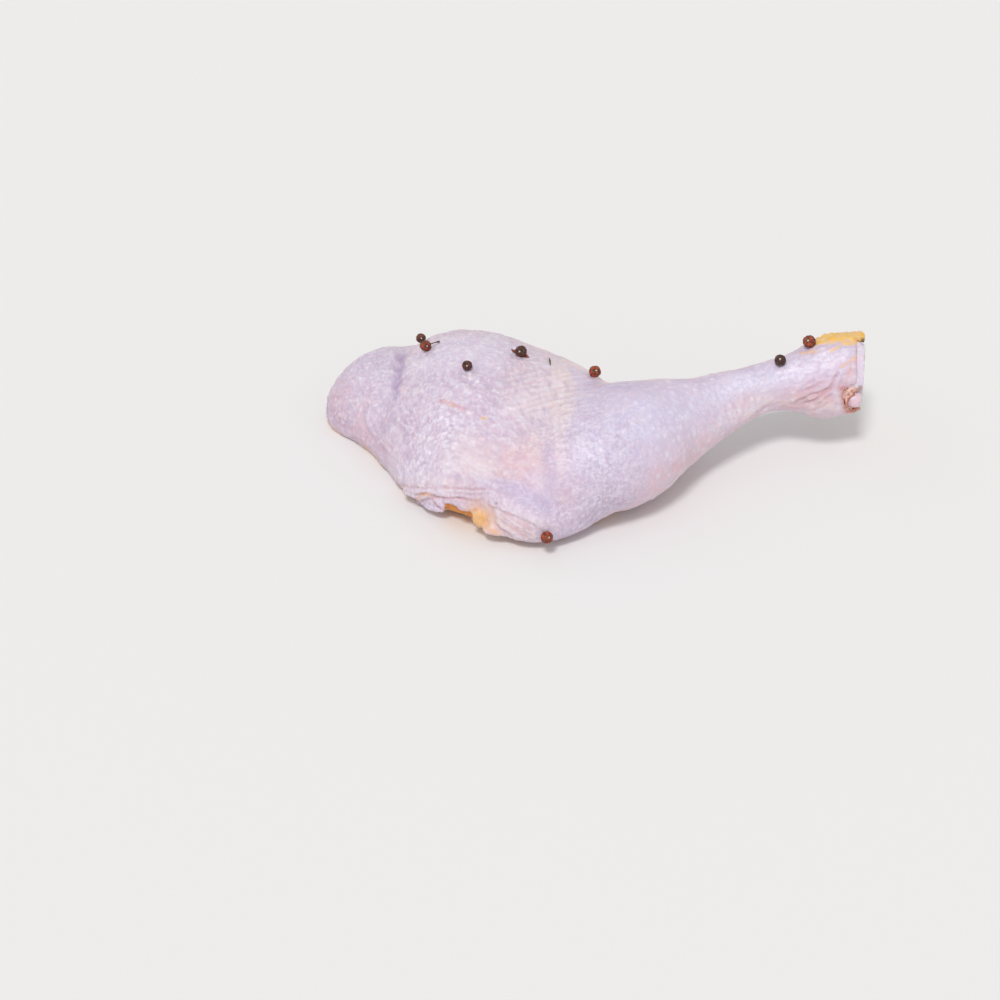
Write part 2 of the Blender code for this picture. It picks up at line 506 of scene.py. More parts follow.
def cut_off(mesh, at):
    """The body up to a plane across the hock."""
    bm = bmesh.new()
    bm.from_mesh(mesh)
    bmesh.ops.bisect_plane(bm, geom=bm.verts[:] + bm.edges[:] + bm.faces[:], dist=1e-7,
                           plane_co=Vector((HOCK + ALONG * at) * MM), plane_no=Vector(ALONG), clear_outer=True)
    bmesh.ops.triangle_fill(bm, edges=[e for e in bm.edges if e.is_boundary], use_beauty=True)
    mesh = bpy.data.meshes.new("short")
    bm.to_mesh(mesh)
    bm.free()
    return mesh


# ---- folded edge of the skin along the front --------------------------------------------------------------------------
def lip_mesh():
    """Rolls, a turned-out flap and a lump of fat along the near edge of the thigh."""
    rolls = [
        # points on the sketch, how far the middle lies out of the body, radii along it
        ([(404.6, 490.4), (411, 490.8), (424, 491.4), (443, 491.2), (458, 491.2), (474, 492.0), (492, 491.4)], -0.5,
         (1.6, 1.5, 1.3, 1.35, 1.25, 1.2, 0.6)),
        ([(434, 495.0), (446, 495.6), (458, 495.6), (470, 497.2), (482, 497.4), (493, 496.4)], -0.5,
         (0.6, 1.05, 1.1, 1.15, 0.9, 0.5)),
        ([(405.4, 487.6), (405.0, 490.4), (405.6, 492.8), (409.5, 494.4), (414, 496.0), (418, 498)], 0.0, (1.2, 1.4, 1.45, 1.3, 1.1, 0.8)),
        ([(436, 499.8), (447, 500.8), (457.5, 501.4), (464, 504.6), (468.5, 505.2), (474.5, 502.8), (486, 502)], -0.25,
         (0.7, 1.0, 1.2, 1.5, 1.5, 1.1, 0.6)),
        ([(457.6, 504.6), (460.5, 508.4), (464.5, 510), (468.6, 509.2), (471.4, 506.6)], -0.1, (0.9, 1.2, 1.25, 1.2, 0.9)),
        ([(419, 499.2), (423.2, 496.8), (428.4, 496.2), (432.6, 498)], -0.2, (0.7, 0.95, 0.95, 0.7)),
        ([(417.6, 502.4), (425, 504.4), (433.5, 507.8), (443.6, 509.8)], 0.05, (0.9, 1.5, 1.5, 1.0)),
        ([(436.6, 502.6), (440.6, 505), (444.4, 506.6)], 0.15, (0.8, 1.15, 1.1)),
    ]
    made = []
    for points, out, radii in rolls:
        fine = curve(points, 3.0)
        places, sizes = [], []
        for i, (x, y) in enumerate(fine):
            places.append(by_skin(x, y, out))
            sizes.append(np.interp(i / (len(fine) - 1) * (len(radii) - 1), range(len(radii)), radii))
        made.append((places, sizes))
    fat, fat_low, fat_right = by_skin(480, 516.5, -1.4), by_skin(481, 522.5, -0.6), by_skin(496, 531.0, -0.4)

    def field(p):
        f = np.full(len(p), 1e9)
        for places, sizes in made:
            f = melt(f, rope(p, places, sizes), 0.35)
        f = melt(f, (np.linalg.norm((p - fat) / np.array([4.6, 3.0, 3.4]), axis=1) - 1) * 3.0, 1.2)
        f = melt(f, (np.linalg.norm((p - fat_low) / np.array([4.2, 3.0, 2.6]), axis=1) - 1) * 2.6, 1.2)
        f = melt(f, (np.linalg.norm((p - fat_right) / np.array([6.0, 2.8, 2.4]), axis=1) - 1) * 2.4, 1.2)
        return f + 0.12 * noise(p / 2.6, 71)

    every = np.vstack([np.array(places) for places, _ in made] + [fat[None], fat_low[None], fat_right[None]])
    return nets("lip", field, every.min(0) - 6, every.max(0) + 6, 0.5)


# ---- the fine skin ----------------------------------------------------------------------------------------------------
def skin_base():
    sleeve = nets("sleeve", sleeve_field, HOCK + (-17, -19, -19), HOCK + (4, 19, 19), 0.5)
    mesh = remeshed(joined([cut_off(body, SLEEVE), sleeve, lip_mesh()]), SKIN_GRID)
    co = relax(mesh, coords(mesh), 2)
    co[:, 2] = np.maximum(co[:, 2], 0.0)
    set_coords(mesh, co)
    # the flat underside needs few faces
    under = (co[:, 2] < 0.15) & (normals(mesh)[:, 2] < -0.9)
    e, _ = neighbours(mesh)
    edge = np.zeros(len(co), bool)
    edge[e[under[e[:, 0]] != under[e[:, 1]]].ravel()] = True
    inside = np.flatnonzero(under & ~edge)
    obj = new_object("work", mesh)
    group = obj.vertex_groups.new(name="under")
    group.add(inside.tolist(), 1.0, "REPLACE")
    mod = obj.modifiers.new("thin", "DECIMATE")
    mod.vertex_group = "under"
    mod.ratio = max(0.2, 1 - 0.93 * len(inside) / len(mesh.polygons))
    return evaluated(obj)


# Folds and wrinkles of the shown side, on the sketch plane:
# (kind, depth in mm, half width in sketch units, ease at the start, ease at the end, painted shade in the crease, how
# reddish that painted shade is, points)
MARKS = [
    # between the hip end and the dome of the thigh
    ("groove", 1.6, 4.8, 0.1, 0.35, 0.95, 0.0, [(404, 350), (400.5, 361), (398.5, 373), (395.5, 384), (395, 394), (397, 405)]),
    ("groove", 0.6, 1.7, 0.25, 0.3, 0.90, 0.0, [(397, 379), (394.2, 388), (395.5, 401)]),
    ("groove", 0.45, 1.6, 0.3, 0.3, 0.50, 0.0, [(373, 382), (377, 388), (379.5, 394), (381, 400), (385, 405)]),
    ("groove", 0.35, 1.4, 0.3, 0.3, 0.40, 0.0, [(385, 397), (388.5, 403), (391, 407)]),
    ("groove", 0.35, 1.3, 0.3, 0.3, 0.40, 0.0, [(366, 389), (372, 392), (379, 396)]),
    ("groove", 0.40, 1.5, 0.3, 0.3, 0.40, 0.1, [(359, 401), (367, 406), (375, 411)]),
    ("groove", 0.75, 2.3, 0.15, 0.2, 0.55, 0.3, [(361.5, 408), (363, 420), (368, 432), (375, 441), (382, 451), (388, 459)]),
    ("ridge_highlight", 0.45, 2.2, 0.2, 0.2, 0.0, 0.0, [(366.5, 412), (368.5, 421), (373, 431), (380, 440), (387, 450)]),
    ("groove", 0.30, 1.3, 0.3, 0.3, 0.40, 0.4, [(352, 412), (357, 417.4), (363, 417)]),
    ("groove", 0.35, 1.5, 0.3, 0.3, 0.40, 0.3, [(377, 418), (379, 426), (382, 432)]),
    ("groove", 0.30, 1.3, 0.3, 0.3, 0.35, 0.0, [(391, 416), (394.5, 425), (399, 433)]),
    ("groove", 0.30, 1.4, 0.3, 0.3, 0.30, 0.0, [(386, 431), (390, 440), (396, 450)]),
    ("groove", 0.25, 1.2, 0.3, 0.3, 0.30, 0.0, [(347, 393), (351, 402), (353, 411)]),
    ("groove", 0.25, 1.2, 0.3, 0.3, 0.25, 0.0, [(357, 383), (362, 391), (364, 399)]),
    ("groove", 0.25, 1.3, 0.3, 0.3, 0.25, 0.1, [(343, 406), (348, 417), (355, 426)]),
    ("groove", 0.30, 1.5, 0.3, 0.3, 0.25, 0.1, [(391, 456), (398, 466), (405, 474)]),
    ("groove", 0.45, 6.5, 0.35, 0.35, 0.0, 0.0, [(456, 412), (449, 432), (447, 452)]),
    ("groove", 0.30, 1.3, 0.35, 0.35, 0.25, 0.0, [(411, 402), (412, 418), (410, 434)]),
    ("groove", 0.30, 1.4, 0.35, 0.35, 0.25, 0.0, [(424, 420), (423, 436), (420, 450)]),
    ("groove", 0.25, 1.2, 0.35, 0.35, 0.20, 0.0, [(437, 392), (436, 408), (438, 422)]),
    # folds along the front edge
    ("groove", 0.65, 1.3, 0.1, 0.2, 0.85, 0.6, [(401, 484.6), (405.5, 486.4), (411, 487.2), (419, 487.2)]),
    ("groove", 0.55, 1.2, 0.2, 0.2, 0.75, 0.6, [(412, 487.6), (428, 487.8), (440, 488.8)]),
    ("groove", 0.75, 1.2, 0.2, 0.2, 1.10, 0.7, [(436, 488.2), (447, 487.8), (456, 488.2), (464, 488.8), (474, 489.4), (491, 488.6)]),
    ("groove", 0.50, 1.1, 0.2, 0.3, 0.75, 0.6, [(441, 493.0), (458, 493.2), (470, 494.4), (480, 494.7), (494, 493)]),
    ("groove", 0.80, 1.2, 0.03, 0.2, 1.35, 0.8, [(418.6, 495.8), (425, 494.2), (432, 496.4), (440, 497.8), (449, 498.2), (457.5, 497.4),
                                                 (464.5, 499), (474, 500.6), (490, 499.4)]),
    ("groove", 0.30, 1.0, 0.25, 0.3, 0.35, 0.6, [(470, 496.6), (481, 497.8), (494, 496.2)]),
    ("groove", 0.45, 1.0, 0.15, 0.2, 0.50, 0.7, [(450, 501.6), (458, 501.6), (465, 502.4), (474, 503.8), (487, 503.4)]),
    ("groove", 0.60, 1.0, 0.1, 0.1, 0.85, 0.7, [(419.6, 501.8), (425.5, 500.5), (428.4, 498.7), (431.6, 498.8), (433.4, 502), (435.8, 505),
                                                (439, 507.3), (444, 508.6)]),
    # the upper skin lies over the lower one in front of the knee
    ("step", 1.1, 1.5, 0.05, 0.12, 0.55, 0.6, [(487, 504.6), (497, 507.4), (507.6, 512), (519, 516.8), (530, 521.4), (536, 525.5), (541.5, 532)]),
    ("groove", 0.60, 1.5, 0.2, 0.2, 1.10, 0.7, [(499, 511.5), (507, 515.4), (514, 520.6), (524, 525.8), (536, 533)]),
    ("groove", 0.60, 1.5, 0.2, 0.2, 1.05, 0.7, [(496.6, 516.5), (503, 522.4), (511, 527.2), (520, 534), (531, 539)]),
    ("groove", 0.55, 1.4, 0.2, 0.2, 0.85, 0.7, [(494.6, 521.5), (500, 529), (507, 534), (514, 538.5)]),
    ("groove", 0.50, 1.3, 0.2, 0.2, 0.90, 0.7, [(507, 514), (514, 516.4), (522, 521.4), (532, 526.8)]),
    ("groove", 0.50, 1.3, 0.2, 0.3, 0.85, 0.7, [(512, 524.6), (519, 529.6), (528, 533.4), (537, 538.6)]),
    ("groove", 0.45, 1.2, 0.3, 0.3, 0.70, 0.7, [(500, 517), (508, 521), (516, 527.6)]),
    ("groove", 0.45, 2.0, 0.1, 0.1, 0.30, 0.8, [(491.5, 507), (493.5, 515), (494.5, 524), (497.5, 533)]),
    # knee
    ("groove", 0.50, 5.0, 0.3, 0.3, 0.25, 0.0, [(534, 448), (541, 466), (545, 486), (552, 502)]),
    ("groove", 0.35, 3.2, 0.3, 0.3, 0.25, 0.2, [(512, 470), (524, 482), (534, 496)]),
    ("groove", 0.30, 1.6, 0.3, 0.3, 0.30, 0.2, [(517, 463), (527, 473), (533, 484)]),
    ("groove", 0.25, 1.4, 0.3, 0.3, 0.25, 0.1, [(548, 452), (553, 464), (556, 478)]),
    ("groove", 0.25, 1.4, 0.3, 0.3, 0.25, 0.1, [(524, 488), (534, 497), (540, 508)]),
    ("groove", 0.25, 1.4, 0.3, 0.3, 0.25, 0.1, [(484, 468), (494, 475), (506, 479)]),
    # drumstick
    ("groove", 0.30, 1.1, 0.1, 0.25, 0.35, 0.0, [(587, 433), (597, 441.5), (607, 451), (618, 460), (630, 466.5)]),
    ("groove", 0.25, 1.6, 0.2, 0.2, 0.20, 0.0, [(584, 428), (592, 431), (600, 437)]),
    ("groove", 0.25, 1.6, 0.3, 0.3, 0.20, 0.0, [(616, 432), (624, 439), (627, 449)]),
    ("groove", 0.30, 1.5, 0.3, 0.3, 0.25, 0.2, [(724, 403), (728, 411), (730, 420), (729, 428)]),
    ("groove", 0.30, 1.4, 0.3, 0.3, 0.22, 0.2, [(732, 400), (736.5, 409), (738, 419)]),
    ("groove", 0.30, 1.2, 0.3, 0.3, 0.22, 0.2, [(741, 401), (744, 409), (745, 417)]),
    ("groove", 0.40, 1.6, 0.3, 0.2, 0.35, 0.3, [(744, 424), (754, 416), (764, 409), (776, 404)]),
    # hock
    ("groove", 1.00, 1.3, 0.05, 0.25, 1.40, 0.5, [(839.4, 370), (833.6, 380), (830.6, 385.8), (822.5, 391.4), (811, 394.6), (799, 400.6), (786, 407)]),
    ("groove", 0.70, 1.2, 0.1, 0.25, 1.15, 0.5, [(836, 383), (829, 390.2), (822, 394.0), (813, 400.4), (802, 402.6), (794, 407.5)]),
    ("groove", 0.50, 1.1, 0.2, 0.3, 0.80, 0.6, [(834, 393), (828, 396.4), (819, 403.5), (812, 405.4)]),
    ("groove", 0.50, 1.2, 0.2, 0.3, 0.45, 0.5, [(829, 401), (822, 406), (812, 409.5)]),
    ("groove", 0.50, 1.2, 0.2, 0.3, 0.95, 0.5, [(827, 381), (819, 383.4), (812, 388.4), (801, 391.0), (791, 396.5)]),
    ("groove", 0.35, 1.1, 0.2, 0.3, 0.60, 0.5, [(817, 379), (811, 381.5), (800, 387.6), (793, 388.5)]),
    ("groove", 0.40, 1.2, 0.2, 0.3, 0.70, 0.6, [(843, 376), (840, 384), (836, 392)]),
    ("groove", 0.35, 1.1, 0.2, 0.3, 0.65, 0.5, [(808, 391), (800, 395.2), (789, 398.6), (781, 403.4)]),
    ("groove", 0.45, 1.3, 0.2, 0.2, 0.60, 0.8, [(843, 410), (852, 410.5), (860, 408.4)]),
    ("ridge_highlight", 0.50, 1.5, 0.2, 0.2, 0.0, 0.0, [(836.6, 376.5), (830.6, 383), (823, 388.6), (812, 392.8)]),
    ("groove", 0.40, 1.3, 0.2, 0.3, 0.60, 0.6, [(853, 362), (850, 371), (845.6, 380)]),
    ("groove", 0.30, 1.2, 0.2, 0.3, 0.30, 0.3, [(843, 352), (834, 358), (822, 364)]),
    ("groove", 0.35, 1.1, 0.2, 0.3, 0.50, 0.6, [(841, 345.6), (832, 350.8), (822, 354)]),
    ("groove", 0.30, 1.1, 0.2, 0.3, 0.45, 0.6, [(833, 345.8), (826, 349), (818, 351.4), (808, 352)]),
]


def limb_place(co):
    """How far along the drumstick points lie, how far off its middle line, and which way it runs there."""
    steps = np.linalg.norm(np.diff(LIMB, axis=0), axis=1)
    run = np.concatenate([[0], np.cumsum(steps)])
    best, at, way = np.full(len(co), 1e9), np.zeros(len(co)), np.zeros((len(co), 3))
    for i in range(len(LIMB) - 1):
        ab = LIMB[i + 1] - LIMB[i]
        t = np.clip(((co - LIMB[i]) @ ab) / (ab @ ab), 0, 1)
        d = np.linalg.norm(co - LIMB[i] - t[:, None] * ab, axis=1)
        hit = d < best
        best[hit], at[hit] = d[hit], run[i] + t[hit] * steps[i]
        way[hit] = ab / steps[i]
    return at, best, way


def scatter(co, allowed, gap, seed):
    """Indices of points at least gap apart, in an order that is the same each run."""
    order = np.argsort(rand01(np.arange(len(co)), np.zeros(len(co), int), np.zeros(len(co), int), seed))
    order = order[allowed[order]]
    keys = np.floor(co / 4.5).astype(int).tolist()
    places = co.tolist()
    taken, chosen = {}, []
    for i in order.tolist():
        g = gap[i] ** 2
        px, py, pz = places[i]
        kx, ky, kz = keys[i]
        near = False
        for dx in (-1, 0, 1):
            for dy in (-1, 0, 1):
                for dz in (-1, 0, 1):
                    for qx, qy, qz in taken.get((kx + dx, ky + dy, kz + dz), ()):
                        if (qx - px) ** 2 + (qy - py) ** 2 + (qz - pz) ** 2 < g:
                            near = True
        if not near:
            taken.setdefault((kx, ky, kz), []).append((px, py, pz))
            chosen.append(i)
    return chosen


def fine_skin():
    mesh = skin_base()
    co, n = coords(mesh), normals(mesh)
    s = sketch(co)
    eye = EYE - co
    eye /= np.linalg.norm(eye, axis=1)[:, None]
    facing = smooth(0.05, 0.35, np.sum(n * eye, axis=1))
    fronting = smooth(-0.5, -0.2, np.sum(n * eye, axis=1)) * (co[:, 1] < -20)     # to the floor along the front
    q = to_hock(co)
    a = round_angle(q)
    inner = (q[:, 2] > SLEEVE - 1) & (np.hypot(q[:, 0], q[:, 1]) < radius_at(q) - 0.55 * SKIN_THICK)
    rim = np.where(inner | (q[:, 2] > skin_rim(q) - 0.5), 0.0, 1.0)
    under = smooth(0.2, 2.0, co[:, 2])
    free = under * rim
    along, off, way = limb_place(co)
    x = s[:, 0]
    number = np.arange(len(co))
    limb = smooth(26, 48, along)                                 # 0 on the thigh and knee, 1 on the drumstick
    shank = smooth(88, 108, along)
    end = smooth(112, 128, along)
    lobe = smooth(-74, -86, co[:, 0])

    h = np.zeros(len(co))
    # painted shade darkening folds, creases and wrinkles, reddish in some of them
    crease_shade = np.zeros(len(co))
    warm_crease_shade = np.zeros(len(co))
    # painted highlight on ridges, wrinkle crests and follicle tops
    ridge_highlight = np.zeros(len(co))

    # slow unevenness of soft flesh, and a fuller hip end
    h += 0.55 * noise(co / 17, 1) + 0.30 * noise(co / 8.5, 2)
    h += 1.9 * np.exp(-(np.linalg.norm(co - on_skin(357, 369)[0], axis=1) / 17) ** 2)
    h += 1.1 * np.exp(-(np.linalg.norm(co - by_skin(818, 414), axis=1) / 8.5) ** 2)
    # marks of the shown side
    for kind, depth, half, start, stop, colour, red, points in MARKS:
        box = np.array(points)
        near = np.flatnonzero((facing > 0) & (s[:, 0] > box[:, 0].min() - 14) & (s[:, 0] < box[:, 0].max() + 14)
                              & (s[:, 1] > box[:, 1].min() - 14) & (s[:, 1] < box[:, 1].max() + 14))
        if not len(near):
            continue
        d, at = to_line(s[near], points)
        d = d + 0.45 * half * noise(co[near] / 3.0, 7)
        fade = taper(at, start, stop) * facing[near] * (0.8 + 0.35 * noise(co[near] / 4.0, 8))
        if kind == "groove":
            h[near] += fade * depth * (0.38 * np.exp(-((np.abs(d) - 2.1 * half) / (1.1 * half)) ** 2) - np.exp(-(d / half) ** 2))
            # painted shade darkening the groove
            groove_shade = fade * colour * np.exp(-(d / (0.9 * half)) ** 2)
        elif kind == "ridge_highlight":
            h[near] += fade * depth * np.exp(-(d / half) ** 2)
            # painted highlight along the ridge
            ridge_highlight[near] = np.maximum(ridge_highlight[near], fade * 0.6 * np.exp(-(d / half) ** 2))
            continue
        else:
            h[near] += fade * depth * (1 - smooth(-half, half * 0.6, d)) * np.exp(-(np.minimum(d, 0) / 9.0) ** 2)
            h[near] -= fade * 0.35 * depth * bell(d, 1.2 * half, half)
            # painted shade below the step and painted highlight along its upper edge
            groove_shade = fade * colour * bell(d, 0.7 * half, 0.7 * half)
            ridge_highlight[near] = np.maximum(ridge_highlight[near], fade * 0.5 * bell(d, -0.9 * half, 0.8 * half))
        crease_shade[near] = np.maximum(crease_shade[near], groove_shade * (1 - red))
        warm_crease_shade[near] = np.maximum(warm_crease_shade[near], groove_shade * red)

    # fine wrinkles that fan out behind the knee
    fan = patch(s, 548, 392, 44, 36, -12, 3.0) * facing
    c = (s[:, 1] - 400) + (s[:, 0] - 560) * (0.17 + 0.0035 * (s[:, 1] - 385)) + 2.4 * noise(co / 9, 21) + 0.8 * noise(co / 3.5, 22)
    wave = np.sin(2 * math.pi * c / 5.2)
    strength = 0.6 + 0.5 * noise(stretched(co, RIGHT, 3.0, 12.0), 23)
    h += fan * strength * 0.22 * wave
    # painted highlight on the crests of the waves and painted shade in their troughs
    ridge_highlight = np.maximum(ridge_highlight, fan * strength * smooth(0.0, 0.8, wave) * 0.95)
    crease_shade = np.maximum(crease_shade, fan * strength * smooth(0.2, 1.0, -wave) * 0.42)
    # the top of the thigh is drawn smooth
    taut = patch(s, 466, 350, 62, 24, 8, 3.0) * facing

    # net of small creases, drawn out down the thigh
    down = np.stack([0.12 + 0 * x, -0.75 + 0 * x, 0.25 + 0 * x], 1)
    thigh_way = down - np.sum(down * n, axis=1)[:, None] * n
    warp = co + 0.7 * np.stack([noise(co / 2.4, 31), noise(co / 2.4, 32), noise(co / 2.4, 33)], 1)
    across = (1.75 - 0.15 * lobe + 1.2 * limb)[:, None]
    n1, n2 = cells(stretched(warp, thigh_way, across, across * (1.75 - 0.5 * lobe - 0.7 * limb)[:, None]), 41)
    net = 1 - smooth(0.0, 0.42, n2 - n1)
    patchy = smooth(-0.35, 0.5, noise(co / 12, 42))
    calm = 1 - 0.5 * np.maximum(patch(s, 532, 474, 40, 34, 0, 4.0), 0.8 * patch(s, 488, 460, 34, 26, 0, 4.0)) * facing
    h -= (0.15 + 0.12 * lobe + 0.11 * (1 - limb) * patchy - 0.08 * limb) * (1 - 0.55 * fan) * calm * net
    # painted shade in the net's creases
    crease_shade = np.maximum(crease_shade, net * (0.34 + 0.20 * lobe + 0.18 * patchy - 0.26 * limb) * (1 - 0.55 * fan) * (1 - 0.6 * taut) * calm)

    # painted highlight in the middle of the net's cells on the hip end
    ridge_highlight = np.maximum(ridge_highlight, 0.50 * lobe * smooth(0.22, 0.70, n2 - n1))

    # drawn-out wrinkles: down the thigh, along the shank and round it
    streak = noise(stretched(co, thigh_way, 1.3, 7.0), 51)
    wide_streak = noise(stretched(co, thigh_way, 3.2, 15.0), 56)
    brushed = 1 + 0.6 * patch(s, 436, 436, 36, 44, 10, 4.0) * facing
    h += (0.26 * streak + 0.32 * wide_streak) * (1 - limb) * (0.5 + 0.7 * patchy) * (1 - 0.5 * fan) * calm * brushed
    # painted highlight on the crests of the streaks and painted shade in their hollows
    ridge_highlight = np.maximum(ridge_highlight, (0.55 * smooth(0.0, 0.45, streak) + 0.34 * smooth(0.0, 0.5, wide_streak)) * (1 - limb) * calm * brushed * (1 - 0.5 * lobe))
    crease_shade = np.maximum(crease_shade, 0.52 * smooth(0.05, 0.55, -streak - 0.4 * wide_streak) * (1 - limb) * calm * (1 - 0.6 * taut))
    long_wrinkle = ridged(stretched(co, way, 3.1, 17.0), 52, 2.6)
    h -= 0.36 * long_wrinkle * shank * (0.5 + 0.5 * end)
    # painted shade in the long wrinkles of the shank
    crease_shade = np.maximum(crease_shade, 0.30 * long_wrinkle * shank)
    ring_wrinkle = ridged(stretched(co, way, 9.0, 2.6), 53, 2.8)
    h -= 0.22 * ring_wrinkle * smooth(70, 84, along) * (1 - end)
    lobe_wrinkle = ridged(stretched(co, np.array([0.35, -0.9, 0.2]), 3.4, 9.0), 54, 2.6)
    h -= 0.32 * lobe_wrinkle * lobe
    # painted shade in the wrinkles of the hip end
    crease_shade = np.maximum(crease_shade, 0.30 * lobe_wrinkle * lobe)
    # loose folds low on the sides that the view does not show
    away = 1 - facing
    hem = bell(co[:, 2], 7.0, 6.0) * away * (1 - smooth(40, 60, along))
    hem_fold = ridged(stretched(co, np.array([1.0, 0.25, 0.0]), 3.6, 20.0), 55, 2.4)
    h -= 0.6 * hem_fold * hem
    # painted shade in the low folds
    crease_shade = np.maximum(crease_shade, 0.4 * hem_fold * hem)

    # follicles
    gap = 2.6 + 0.5 * limb + 0.5 * (1 - limb) * patchy + 0.9 * noise(co / 6, 60)
    allowed = (free > 0.5) & (rand01(number, number * 0 + 1, number * 0 + 1, 3) < 0.35)
    roots = scatter(co, allowed, gap, 61)
    kd = kdtree.KDTree(len(roots))
    for i, r in enumerate(roots):
        kd.insert(co[r], i)
    kd.balance()
    where = np.flatnonzero(free > 0.2)
    found = [kd.find(p)[1:] for p in co[where].tolist()]
    which = np.array([f[0] for f in found])
    dist = np.array([f[1] for f in found])
    pick = rand01(which, which * 0, which * 0, 62)
    lump = np.zeros(len(co))
    lump[where] = np.exp(-(dist / (0.65 + 0.35 * pick)) ** 2.4) * (0.25 + 1.0 * pick ** 2)
    glossy = patch(s, 596, 466, 22, 24, 0, 4.0) * facing
    tall = (0.06 + 0.20 * limb * (1 - 0.75 * end) + 0.05 * lobe) * (1 - 0.6 * fan) * (1 - 0.55 * glossy)
    h += tall * lump
    # scaly yellow skin at the top of the hock
    scaly = (smooth(-23, -17, q[:, 2] + 2.2 * noise(co / 6, 69) + 1.8 * noise(co / 2.6, 63))
             * smooth(-132, -104, a + 16 * noise(co / 5, 68) + 7 * noise(co / 2.2, 70))
             * (1 - smooth(-42, -32, a + 6 * noise(stretched(co, way, 1.6, 6.0), 64))))
    s1, s2 = cells(stretched(co, way, 1.5, 2.2), 65)
    plate = smooth(0.05, 0.5, s2 - s1)
    flake = np.floor(co / 2.1).astype(int)
    h += scaly * (0.55 * plate * (0.5 + 0.9 * rand01(flake[:, 0], flake[:, 1], flake[:, 2], 66)) - 0.1)
    crease_shade = crease_shade * (1 - 0.8 * scaly)

    # raw flesh shows a little deeper where the skin's edge lifts
    top = np.interp(x, (444, 446, 455.5, 457.4, 463, 470, 471), (504, 503.6, 505.0, 509.3, 512.0, 512.0, 513))
    flesh = fronting * smooth(443.8, 445.8, x) * (1 - smooth(470.0, 472.5, x)) * smooth(-0.6, 0.8, s[:, 1] - top) * (1 - smooth(526, 532, s[:, 1]))
    h -= 1.1 * flesh + 1.3 * fronting * patch(s, 413, 505, 10, 5.5, 25, 2.0)
    h *= free
    moved = co + n * h[:, None]
    moved = relax(mesh, moved, 1, free=0.35 * free)
    moved[:, 2] = np.maximum(moved[:, 2], 0.0)
    set_coords(mesh, moved)

    # ---- colour masks
    b1, b2, b3 = noise(co / 11, 81), noise(co / 5, 82), noise(co / 2.2, 83)
    cream = np.maximum.reduce([
        0.95 * patch(s, 566, 375, 20, 22, 10, 4.0) * facing, 0.85 * patch(s, 562, 408, 18, 34, -8, 4.0) * facing,
        0.55 * patch(s, 536, 392, 34, 30, 0, 3.0) * facing, 0.6 * patch(s, 545, 445, 26, 24, 0, 3.0) * facing,
        0.45 * patch(s, 478, 458, 50, 24, 10, 3.0) * facing, 0.55 * patch(s, 430, 486, 46, 12, 0, 3.0) * facing,
        0.95 * patch(s, 516, 527, 30, 14, 24, 3.0) * facing,
        0.5 * patch(s, 760, 404, 26, 14, -20, 3.0) * facing, 0.5 * patch(s, 812, 404, 36, 9, 6, 3.0) * facing,
        0.85 * np.exp(-(np.linalg.norm(co - by_skin(572, 366), axis=1) / 15) ** 2)])
    # the drumstick's skin is cooler from a clear line on
    boundary, _ = to_line(s, [(562, 352), (569, 372), (577, 391), (575, 409), (569, 424), (566, 445), (566, 470), (560, 500)])
    boundary = boundary + 2.2 * b2 + 1.2 * b3
    soft = 2.5 + 9.0 * smooth(405, 450, s[:, 1])
    cool_side = smooth(-1, 1, -boundary / soft) * smooth(520, 560, s[:, 0])
    cream = cream * (1 - 0.93 * cool_side * facing * (1 - smooth(690, 740, x)))
    cream = cream + away * (0.35 + 0.4 * b1) * (1 - 0.5 * limb)
    cream = np.clip(cream + 0.16 * b2 * cream, 0, 1)

    pink_and_warm_bounce = 0.30 + 0.28 * b1 + 0.16 * b2
    pink_and_warm_bounce += facing * (0.55 * patch(s, 345, 412, 26, 34, 20, 3.0) + 0.5 * patch(s, 372, 448, 30, 16, 38, 3.0)
                      + 0.35 * patch(s, 405, 388, 5, 10, 10) + 0.55 * patch(s, 404.5, 387, 3.2, 7.5, 8)
                      + 0.5 * patch(s, 498, 425.5, 7, 5, -30) + 0.45 * patch(s, 524, 407, 4, 3) + 0.35 * patch(s, 520, 428, 5, 4)
                      + 0.30 * patch(s, 520, 455, 34, 20, 10, 3.0) + 0.35 * patch(s, 440, 403, 6, 3.5, 15)
                      + 0.25 * patch(s, 463, 384, 5, 4))
    # painted warm light bounced up from below: the drumstick's lower edge is pinker
    low_edge, _ = to_line(s, [(584, 527), (620, 510), (655, 484), (690, 460), (720, 436), (752, 414), (790, 404), (830, 410)])
    pink_and_warm_bounce += facing * limb * (0.75 * np.exp(-(np.maximum(-low_edge, 0) / 17) ** 2) + 0.5 * smooth(785, 805, x) * smooth(372, 392, s[:, 1]))
    # painted cool light from above: less pink on the tops of the dome, drumstick and shank
    pink_and_warm_bounce = pink_and_warm_bounce - facing * 0.35 * (patch(s, 470, 352, 50, 20, 0, 3.0) + patch(s, 620, 430, 50, 40, 0, 3.0) + patch(s, 765, 385, 40, 16, -15, 3.0))
    pink_and_warm_bounce += away * (0.2 + 0.4 * bell(co[:, 2], 2.0, 7.0))

